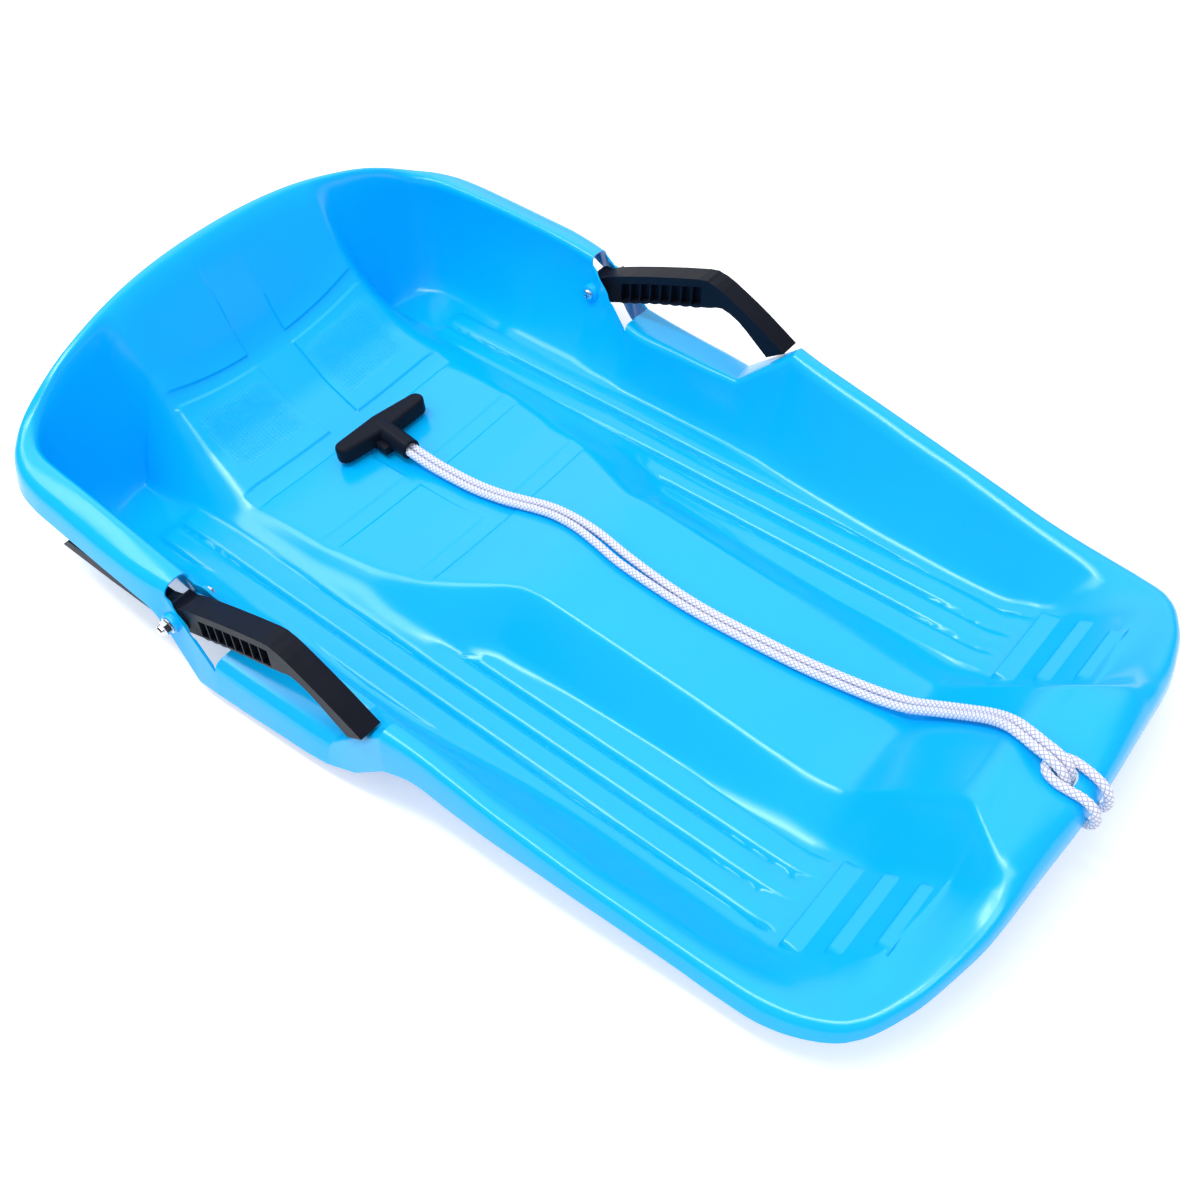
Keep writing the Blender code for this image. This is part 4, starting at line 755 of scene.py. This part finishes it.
def make_bars_piece(settings, material):
    """The footrest bars: treads raised at their rear edges, with soft ends."""
    bm = bmesh.new()
    deepest = BAR_EDGE_SHARES[0][0] - BAR_EDGE_SHARES[0][1]
    columns, rows = BAR_STEPS
    for side in (-1, 1):
        for (rear, front), ends in zip(BAR_EDGE_SHARES, BAR_END_SHARES):
            inner, outer = (share * HALF_WIDTH for share in ends)
            depth = (rear - front) * HALF_LENGTH
            rise = BAR_RISE * (rear - front) / deepest
            made = bmesh.ops.create_grid(bm, x_segments=columns, y_segments=rows, size=1.0)
            for vert in made["verts"]:
                across = (vert.co.x + 1) / 2 * (outer - inner)
                along = (vert.co.y + 1) / 2
                share = smooth_step(min(across, outer - inner - across) / BAR_END_ROUND)
                share *= smooth_step((1 - along) * depth / BAR_REAR_ROUND)
                lift = (rise + BAR_FLUSH) * along - BAR_FLUSH
                y = front * HALF_LENGTH + depth * along
                deck = deck_height(inner + across, y, settings)
                height = deck + lift * share - BAR_SINK * (1 - share)
                vert.co = (side * (inner + across), y, height)
    bmesh.ops.recalc_face_normals(bm, faces=bm.faces)
    down = [face for face in bm.faces if face.normal.z < 0]
    bmesh.ops.reverse_faces(bm, faces=down)
    return new_object("footrest_bars", bm, material)


def make_bosses_piece(material):
    """The round bosses that carry each brake's bolt inside and outside the lever."""
    bm = bmesh.new()
    for side in (-1, 1):
        for x_range in (INNER_BOSS_X, OUTER_BOSS_X):
            add_pin(bm, side, x_range, BOSS_RADIUS, BOSS_SEGMENTS)
    sharp = [edge for edge in bm.edges if edge.calc_face_angle(0) > SHARP_ANGLE]
    bmesh.ops.bevel(bm, geom=sharp, offset=BOSS_EDGE, offset_type="OFFSET", segments=2,
                    profile=0.5, affect="EDGES", material=-1, clamp_overlap=True)
    return new_object("pivot_bosses", bm, material)


def curve_through(points, steps):
    """Points of a smooth curve through the given ones, with steps for each interval."""
    points = [Vector(point) for point in points]
    padded = [points[0] * 2 - points[1]] + points + [points[-1] * 2 - points[-2]]
    smoothed = []
    for k, count in enumerate(steps):
        before, start, end, after = padded[k:k + 4]
        lead = (end - before) / 2
        tail = (after - start) / 2
        smoothed += [curve_point(start, end, lead, tail, step / count) for step in range(count)]
    return smoothed + [points[-1]]


def strand_points(side):
    """Route points of one strand of the doubled rope."""
    middles = [Vector(row[:3]) for row in ROPE_ROUTE]
    points = []
    for k, row in enumerate(ROPE_ROUTE):
        ahead = middles[min(k + 1, len(middles) - 1)] - middles[max(k - 1, 0)]
        across = Vector((-ahead.y, ahead.x, 0)).normalized()
        points.append(middles[k] + across * side * row[3])
    return points


def rope_path():
    """Middle line of the whole rope: one strand, the hitch round the lip, the other strand."""
    route = strand_points(-1) + [Vector(point) for point in HITCH_ROUTE] + strand_points(1)[::-1]
    steps = [max(1, round((b - a).length / ROPE_RINGS_STEP)) for a, b in zip(route, route[1:])]
    return curve_through(route, steps)


def plait_rise(around, along):
    """Height of the plait's yarns, from 0 between them to 1 on top of one."""
    first = around + along
    second = around - along
    over = (math.floor(first) + math.floor(second)) % 2
    across = first if over else second
    length = second if over else first
    crown = math.sin(math.pi * (across - math.floor(across)))
    hump = math.sin(math.pi * (length - math.floor(length)))
    return crown * (YARN_EDGE_SHARE + (1 - YARN_EDGE_SHARE) * hump)


def make_rope_piece(settings, material):
    """The tow rope as one plaited tube along its path."""
    path = rope_path()
    rings = len(path)
    bm = bmesh.new()
    bmesh.ops.create_grid(bm, x_segments=ROPE_SIDES, y_segments=rings - 1, size=1.0)
    bm.verts.ensure_lookup_table()
    width = ROPE_SIDES + 1
    radius = settings.diameter / 2
    yarn_length = math.pi * settings.diameter / settings.yarns * settings.lay
    across = Vector((1, 0, 0))
    run = 0.0
    marks = []
    for k, point in enumerate(path):
        ahead = (path[min(k + 1, rings - 1)] - path[max(k - 1, 0)]).normalized()
        across = (across - ahead * across.dot(ahead)).normalized()
        up = ahead.cross(across)
        if k:
            run += (point - path[k - 1]).length
        for j in range(width):
            angle = 2 * math.pi * j / ROPE_SIDES
            mark = (settings.yarns * j / ROPE_SIDES, run / yarn_length)
            marks.append(mark)
            reach = radius * (1 - settings.relief * (1 - plait_rise(*mark)))
            direction = across * math.cos(angle) + up * math.sin(angle)
            bm.verts[k * width + j].co = point + direction * reach
    uv = bm.loops.layers.uv.new("Plait")
    for face in bm.faces:
        for loop in face.loops:
            loop[uv].uv = marks[loop.vert.index]
    bmesh.ops.remove_doubles(bm, verts=bm.verts, dist=ROPE_WELD)
    ends = [edge for edge in bm.edges if edge.is_boundary]
    bmesh.ops.holes_fill(bm, edges=ends, sides=ROPE_SIDES)
    bmesh.ops.recalc_face_normals(bm, faces=bm.faces)
    return new_object("tow_rope", bm, material), path, run


class Wire:
    """A socket of a material's nodes, on which sums can be written."""

    def __init__(self, nodes, socket):
        self.nodes = nodes
        self.socket = socket

    def __add__(self, other):
        return self.nodes.math("ADD", self, other)

    __radd__ = __add__

    def __sub__(self, other):
        return self.nodes.math("SUBTRACT", self, other)

    def __rsub__(self, other):
        return self.nodes.math("SUBTRACT", other, self)

    def __mul__(self, other):
        return self.nodes.math("MULTIPLY", self, other)

    __rmul__ = __mul__

    def __abs__(self):
        return self.nodes.math("ABSOLUTE", self)


class Nodes:
    """A node tree under construction."""

    def __init__(self, tree):
        self.tree = tree

    def feed(self, socket, value):
        """Set a socket to a value, or link it to a wire."""
        if isinstance(value, Wire):
            self.tree.links.new(value.socket, socket)
        else:
            socket.default_value = value

    def node(self, kind, settings=None, inputs=None, output=0):
        """Add a node with its settings and inputs, and return a wire from one of its outputs."""
        node = self.tree.nodes.new(kind)
        for name, value in (settings or {}).items():
            setattr(node, name, value)
        for name, value in (inputs or {}).items():
            self.feed(node.inputs[name], value)
        return Wire(self, node.outputs[output])

    def math(self, operation, *values):
        """A sum on one or two values."""
        return self.node("ShaderNodeMath", {"operation": operation}, dict(enumerate(values)))

    def toward(self, direction, vector):
        """How far a vector points in a direction."""
        return self.node("ShaderNodeVectorMath", {"operation": "DOT_PRODUCT"},
                         {0: vector, 1: direction}, "Value")

    def greater(self, first, second):
        """The greater of two values."""
        return self.math("MAXIMUM", first, second)

    def seen(self):
        """One for the rays of the camera, of mirrors and of clear pieces, zero for the others."""
        camera, glossy, clear = (self.node("ShaderNodeLightPath", output=f"Is {kind} Ray")
                                 for kind in ("Camera", "Glossy", "Transmission"))
        return self.greater(self.greater(camera, glossy), clear)

    def parts_of(self, vector):
        """The three numbers of a point."""
        return [self.node("ShaderNodeSeparateXYZ", None, {0: vector}, axis) for axis in range(3)]

    def noise(self, vector, scale, detail=2.0):
        """Noise from 0 to 1 at a number of grains to the metre."""
        return self.node("ShaderNodeTexNoise", None,
                         {"Vector": vector, "Scale": scale, "Detail": detail})

    def between(self, value, low, high, to_low=0.0, to_high=1.0):
        """Carry a value from one range to another, smoothly and within its ends."""
        return self.node("ShaderNodeMapRange", {"interpolation_type": "SMOOTHSTEP"},
                         {"Value": value, 1: low, 2: high, 3: to_low, 4: to_high})

    def mixed(self, share, first, second):
        """Mix two colours, by the Mix node's sockets for colours."""
        return self.node("ShaderNodeMix", {"data_type": "RGBA"},
                         {0: share, 6: (*first, 1.0), 7: (*second, 1.0)}, 2)


class Finish(Nodes):
    """A material under construction, with one shader."""

    def __init__(self, name, colour, roughness, metallic=0.0):
        self.material = bpy.data.materials.new(name)
        self.material.use_nodes = True
        super().__init__(self.material.node_tree)
        self.shader = self.tree.nodes["Principled BSDF"]
        self.set("Base Color", (*colour, 1.0))
        self.set("Roughness", roughness)
        self.set("Metallic", metallic)
        self.material.diffuse_color = (*colour, 1.0)

    def set(self, name, value):
        """Set or link one of the shader's own sockets."""
        self.feed(self.shader.inputs[name], value)

    def place(self):
        """The point on the piece, in metres."""
        return self.node("ShaderNodeTexCoord", output="Object")

    def bumped(self, height, depth, strength):
        """Link the shader's normal to a bump of some depth in metres."""
        self.set("Normal", self.node("ShaderNodeBump", None, {
            "Height": height, "Distance": depth, "Strength": strength}))


def blue_plastic(settings):
    """Glossy plastic with a faint ripple, and a fine grid pressed into the lower back panels."""
    finish = Finish("sled_blue_plastic", settings.colour, settings.roughness)
    place = finish.place()
    x, y, z = finish.parts_of(place)
    clouds = finish.noise(place, BLUE_CLOUDS)
    finish.set("Base Color", finish.mixed(clouds, settings.shade_colour, settings.colour))
    gloss = BLUE_GLOSS_SPREAD * finish.noise(place, BLUE_GLOSS, FINE)
    finish.set("Roughness", settings.roughness + gloss)
    finish.set("Specular IOR Level", settings.specular)
    flat = finish.node("ShaderNodeCombineXYZ", None, {0: x, 1: y + z, 2: 0.0})
    cell = finish.node("ShaderNodeTexVoronoi", {"feature": "F1", "distance": "CHEBYCHEV"},
                       {"Vector": flat, "Scale": GRID_SCALE, "Randomness": 0.0})
    grid = finish.between(cell, *GRID_GROOVE)
    for way, ends in ((abs(x), GRID_ENDS_X), (y, GRID_ENDS_Y)):
        for soft_end in ends:
            grid = grid * finish.between(way, *soft_end)
    ripple = finish.noise(place, BLUE_RIPPLE, COARSE)
    finish.bumped(ripple * BLUE_RIPPLE_SHARE + grid, *BLUE_BUMP)
    return finish.material


def black_plastic(settings):
    """Satin black plastic with a fine moulded grain."""
    finish = Finish("sled_black_plastic", settings.black, settings.black_roughness)
    place = finish.place()
    clouds = finish.noise(place, BLACK_CLOUDS, FINE)
    finish.set("Base Color", finish.mixed(clouds, settings.black, settings.black_worn))
    finish.set("Roughness", settings.black_roughness + BLACK_GLOSS_SPREAD * clouds)
    finish.set("Specular IOR Level", settings.black_specular)
    finish.bumped(finish.noise(place, BLACK_GRAIN), *BLACK_BUMP)
    return finish.material


def zinc_steel(settings):
    """Bright zinc plating with faint clouding and turning marks."""
    finish = Finish("sled_zinc_steel", settings.metal, settings.metal_roughness, 1.0)
    place = finish.place()
    clouds = finish.noise(place, ZINC_CLOUDS, FINE)
    finish.set("Base Color", finish.mixed(clouds, settings.metal_shade, settings.metal))
    finish.set("Roughness", settings.metal_roughness + ZINC_GLOSS_SPREAD * clouds)
    finish.bumped(finish.noise(place, ZINC_MARKS, COARSE), *ZINC_BUMP)
    return finish.material


def white_rope(settings):
    """Plaited white yarn with painted lilac shade between its yarns."""
    finish = Finish("sled_white_rope", settings.colour, ROPE_ROUGHNESS)
    plait = finish.node("ShaderNodeUVMap", {"uv_map": "Plait"})
    around, along, _ = finish.parts_of(plait)

    def from_middle(value):
        """How far a place is from the middle of its yarn, as a share of the yarn's width."""
        return abs(finish.math("FRACT", value + YARN_TURNS) - 0.5)

    gap = finish.greater(from_middle(around + along), from_middle(around - along))
    shade = finish.between(gap, *YARN_GAP)
    # The lilac mixed in between the yarns is painted shade, darkest in each gap
    finish.set("Base Color", finish.mixed(shade, settings.colour, settings.gap_shade_colour))
    stretched = finish.node("ShaderNodeVectorMath", {"operation": "MULTIPLY"},
                            {0: plait, 1: FIBRE_STRETCH})
    finish.bumped(finish.noise(stretched, FIBRE_SCALE, FINE) - shade, *ROPE_BUMP)
    finish.set("Sheen Weight", ROPE_SHEEN)
    return finish.material


def floor_white(settings):
    """A pale floor that the camera and mirrors see as white, with the object's soft shadow."""
    finish = Finish("floor_white", settings.floor_colour, FLOOR_ROUGHNESS)
    finish.set("Specular IOR Level", 0.0)
    glow = (settings.floor_lift,) * 3
    finish.set("Emission Color", finish.mixed(finish.seen(), (0.0, 0.0, 0.0), glow))
    finish.set("Emission Strength", 1.0)
    return finish.material


def length_of(name, about, default, **limits):
    """A setting in metres."""
    return FloatProperty(name=name, description=about, default=default, unit="LENGTH",
                         subtype="DISTANCE", **limits)


def share_of(name, about, default, high=1):
    """A setting from 0 to 1, or to a lower limit."""
    return FloatProperty(name=name, description=about, default=default, min=0, max=high,
                         subtype="FACTOR")


def strength_of(name, about, default, high):
    """A strength as a setting."""
    return FloatProperty(name=name, description=about, default=default, min=0, max=high)


def colour_of(name, about, default):
    """A colour as a setting."""
    return FloatVectorProperty(name=name, description=about, subtype="COLOR", default=default,
                               min=0, max=1)


class ShellSettings(PropertyGroup):
    """Sizes and colour of the moulded shell."""

    sheet: length_of("Sheet", "Thickness of the moulded sheet", 0.0022, min=0.001, max=0.004)
    rib_rise: length_of("Rib height", "Height of the ribs in the leg channels", 0.0032)
    seat_strip_sink: length_of("Seat strips", "Depth of the seat's strips", 0.0010)
    back_strip_sink: length_of("Back strips", "Depth of the backrest's strips", 0.0016)
    colour: colour_of("Blue", "Colour of the plastic", (0.001, 0.49, 1.0))
    shade_colour: colour_of("Deeper blue", "Colour of its cloudy places", (0.001, 0.47, 0.99))
    roughness: share_of("Roughness", "Roughness of the moulded face", 0.17)
    specular: share_of("Gloss", "Strength of the moulded face's reflections", 0.36)


class RopeSettings(PropertyGroup):
    """Sizes and colours of the tow rope."""

    diameter: length_of("Diameter", "Thickness of one strand", 0.006)
    yarns: IntProperty(name="Yarns", description="Yarns of the plait around the rope", default=5)
    lay: FloatProperty(name="Lay", description="Length of a yarn's crossing over its width",
                       default=0.95, min=0.5, max=3)
    relief: share_of("Relief", "Depth of the plait as a share of the radius", 0.15, high=0.4)
    colour: colour_of("White", "Colour of the yarns", (0.96, 0.96, 0.98))
    # The lilac between the yarns is painted shade on the white rope
    gap_shade_colour: colour_of("Lilac", "Colour between the yarns", (0.45, 0.48, 0.72))


class FittingSettings(PropertyGroup):
    """Finish of the levers, the handle and the fasteners."""

    black: colour_of("Black", "Colour of the black plastic", (0.006, 0.007, 0.012))
    black_worn: colour_of("Worn black", "Colour of its paler places", (0.009, 0.011, 0.019))
    black_roughness: share_of("Black roughness", "Roughness of the black plastic", 0.38)
    black_specular: share_of("Black gloss", "Strength of the black's reflections", 0.08)
    metal: colour_of("Zinc", "Colour of the plating", (0.80, 0.80, 0.82))
    metal_shade: colour_of("Dull zinc", "Colour of its cloudy places", (0.66, 0.67, 0.70))
    metal_roughness: share_of("Metal roughness", "Roughness of the plating", 0.14)


class StageSettings(PropertyGroup):
    """Light and floor of the picture."""

    key_power: FloatProperty(name="Key light", description="Power of the long light overhead",
                             default=19.0, min=0, unit="POWER")
    sky_low: strength_of("Low sky", "Strength of the sky at the horizon", 0.48, 2)
    sky_high: strength_of("High sky", "Strength of the sky overhead", 1.17, 3)
    gloss_low: strength_of("Dark gloss", "Strength of the sky seen in gloss", 0.12, 2)
    gloss_high: strength_of("Window", "Strength of the window seen in gloss", 1.75, 4)
    tube_glow: strength_of("Tube", "Strength of the long tube seen in gloss", 7.5, 20)
    floor_colour: colour_of("Floor", "Colour of the floor", (0.88, 0.88, 0.88))
    floor_lift: strength_of("Floor lift", "White added to the floor as it is seen", 0.36, 1)


class SLED_OT_stage(Operator):
    """Set the camera, the light, the sky and the floor"""

    bl_idname = "sled.stage"
    bl_label = "Stage"

    def execute(self, context):
        """Make the stage."""
        settings = context.scene.sled_stage
        scene = context.scene
        camera = bpy.data.objects.new("camera", bpy.data.cameras.new("camera"))
        scene.collection.objects.link(camera)
        right, down, forward = (Vector(axis) for axis in CAMERA_AXES)
        turn = Matrix((right, -down, -forward)).transposed().to_4x4()
        camera.matrix_world = Matrix.Translation(CAMERA_PLACE) @ turn
        camera.data.lens = CAMERA_LENS_MM
        camera.data.sensor_width = SENSOR_MM
        camera.data.sensor_height = SENSOR_MM
        scene.camera = camera
        scene.view_settings.view_transform = "Standard"
        self.add_light(scene, settings.key_power)
        self.set_sky(scene, settings)
        bm = bmesh.new()
        bmesh.ops.create_grid(bm, x_segments=1, y_segments=1, size=FLOOR_HALF_SIZE)
        bmesh.ops.translate(bm, verts=bm.verts, vec=(0, 0, CAD_BOX[0][2]))
        new_object("floor", bm, floor_white(settings))
        return {"FINISHED"}

    def add_light(self, scene, power):
        """Add a long light over the sled, along it."""
        light = bpy.data.lights.new("key_light", "AREA")
        light.energy = power
        light.shape = "RECTANGLE"
        light.size, light.size_y = LIGHT_SIZE
        obj = bpy.data.objects.new("key_light", light)
        scene.collection.objects.link(obj)
        obj.matrix_world = Matrix.Translation(LIGHT_PLACE)

    def set_sky(self, scene, settings):
        """Even light, strongest overhead. Gloss sees a window, a tube and a horizon instead."""
        world = bpy.data.worlds.new("even_sky")
        scene.world = world
        world.use_nodes = True
        nodes = Nodes(world.node_tree)
        background = world.node_tree.nodes["Background"]
        direction = nodes.node("ShaderNodeTexCoord")
        spread = nodes.between(nodes.toward(SKY_LEAN, direction), *SKY_EDGES, settings.sky_low,
                               settings.sky_high)
        window = nodes.between(nodes.toward(WINDOW_DIRECTION, direction), *WINDOW_EDGES,
                               settings.gloss_low, settings.gloss_high)
        horizon = nodes.between(nodes.toward(UP, direction), *HORIZON_EDGES, 1.0, 0.0)
        x, _, z = nodes.parts_of(direction)
        off = abs(x - z * TUBE_LEAN)
        tube = nodes.between(off, *TUBE_EDGES) * nodes.between(z, *TUBE_END_EDGES)
        mirrored = nodes.greater(nodes.greater(window, horizon), tube * settings.tube_glow)
        seen = nodes.seen()
        nodes.feed(background.inputs["Strength"], spread + (mirrored - spread) * seen)
        background.inputs["Color"].default_value = SKY_COLOUR


class SLED_OT_rope(Operator):
    """Plait the doubled tow rope"""

    bl_idname = "sled.rope"
    bl_label = "Tow rope"

    def execute(self, context):
        """Make the rope and give its knot the same finish."""
        settings = context.scene.sled_rope
        material = white_rope(settings)
        rope, path, length = make_rope_piece(settings, material)
        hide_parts("tow_rope_left", "tow_rope_right", "tow_rope_hitch")
        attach(rope, "shell")
        set_finish("rope_knot", material)
        [tuple(point) for point in path[::8]] + [tuple(path[-1])]
        return {"FINISHED"}


class SLED_OT_shell(Operator):
    """Mould the blue shell, its footrest bars and its bosses"""

    bl_idname = "sled.shell"
    bl_label = "Shell"

    def execute(self, context):
        """Make the shell's pieces."""
        settings = context.scene.sled_shell
        material = blue_plastic(settings)
        shell = make_shell_piece(settings, material)
        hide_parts("sled_shell")
        for piece in (shell, make_bars_piece(settings, material), make_bosses_piece(material)):
            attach(piece, "shell")
        return {"FINISHED"}


class SLED_OT_black_parts(Operator):
    """Finish the two brake levers and the pull handle"""

    bl_idname = "sled.black_parts"
    bl_label = "Levers and handle"

    def execute(self, context):
        """Give the black parts their finish."""
        material = black_plastic(context.scene.sled_fittings)
        for name in ("brake_lever_left", "brake_lever_right", "pull_handle"):
            set_finish(name, material)
        return {"FINISHED"}


class SLED_OT_fasteners(Operator):
    """Finish the bolts, washers and nuts of the brakes"""

    bl_idname = "sled.fasteners"
    bl_label = "Bolts, washers and nuts"

    def execute(self, context):
        """Give the fasteners their plating."""
        material = zinc_steel(context.scene.sled_fittings)
        for side in ("left", "right"):
            for kind in ("pivot_bolt", "pivot_washer", "dome_nut"):
                set_finish(f"{kind}_{side}", material)
        return {"FINISHED"}


def set_finish(node, material):
    """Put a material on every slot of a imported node."""
    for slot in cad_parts[node].material_slots:
        slot.material = material


class SLED_PT_looks(Panel):
    """The sled's pieces in the sidebar"""

    bl_label = "Snow sled"
    bl_space_type = "VIEW_3D"
    bl_region_type = "UI"
    bl_category = "Snow sled"

    def draw(self, context):
        """List the steps and their settings."""
        for step, group in STEPS:
            self.layout.operator(f"sled.{step}")
            settings = getattr(context.scene, group)
            for name in settings.__annotations__:
                self.layout.prop(settings, name)


STEPS = (("stage", "sled_stage"), ("rope", "sled_rope"), ("shell", "sled_shell"),
         ("black_parts", "sled_fittings"), ("fasteners", "sled_fittings"))
GROUPS = {"sled_stage": StageSettings, "sled_rope": RopeSettings, "sled_shell": ShellSettings,
          "sled_fittings": FittingSettings}
CLASSES = (*GROUPS.values(), SLED_OT_stage, SLED_OT_rope, SLED_OT_shell, SLED_OT_black_parts,
           SLED_OT_fasteners, SLED_PT_looks)


def register():
    """Make the classes and the scene's settings known."""
    for kind in CLASSES:
        bpy.utils.register_class(kind)
    for name, group in GROUPS.items():
        setattr(bpy.types.Scene, name, PointerProperty(type=group))


def unregister():
    """Take the scene's settings and the classes away."""
    for name in GROUPS:
        delattr(bpy.types.Scene, name)
    for kind in reversed(CLASSES):
        bpy.utils.unregister_class(kind)


def main():
    """Dress the sled."""
    register()
    for step, _ in STEPS:
        getattr(bpy.ops.sled, step)()


if __name__ == "__main__":
    main()
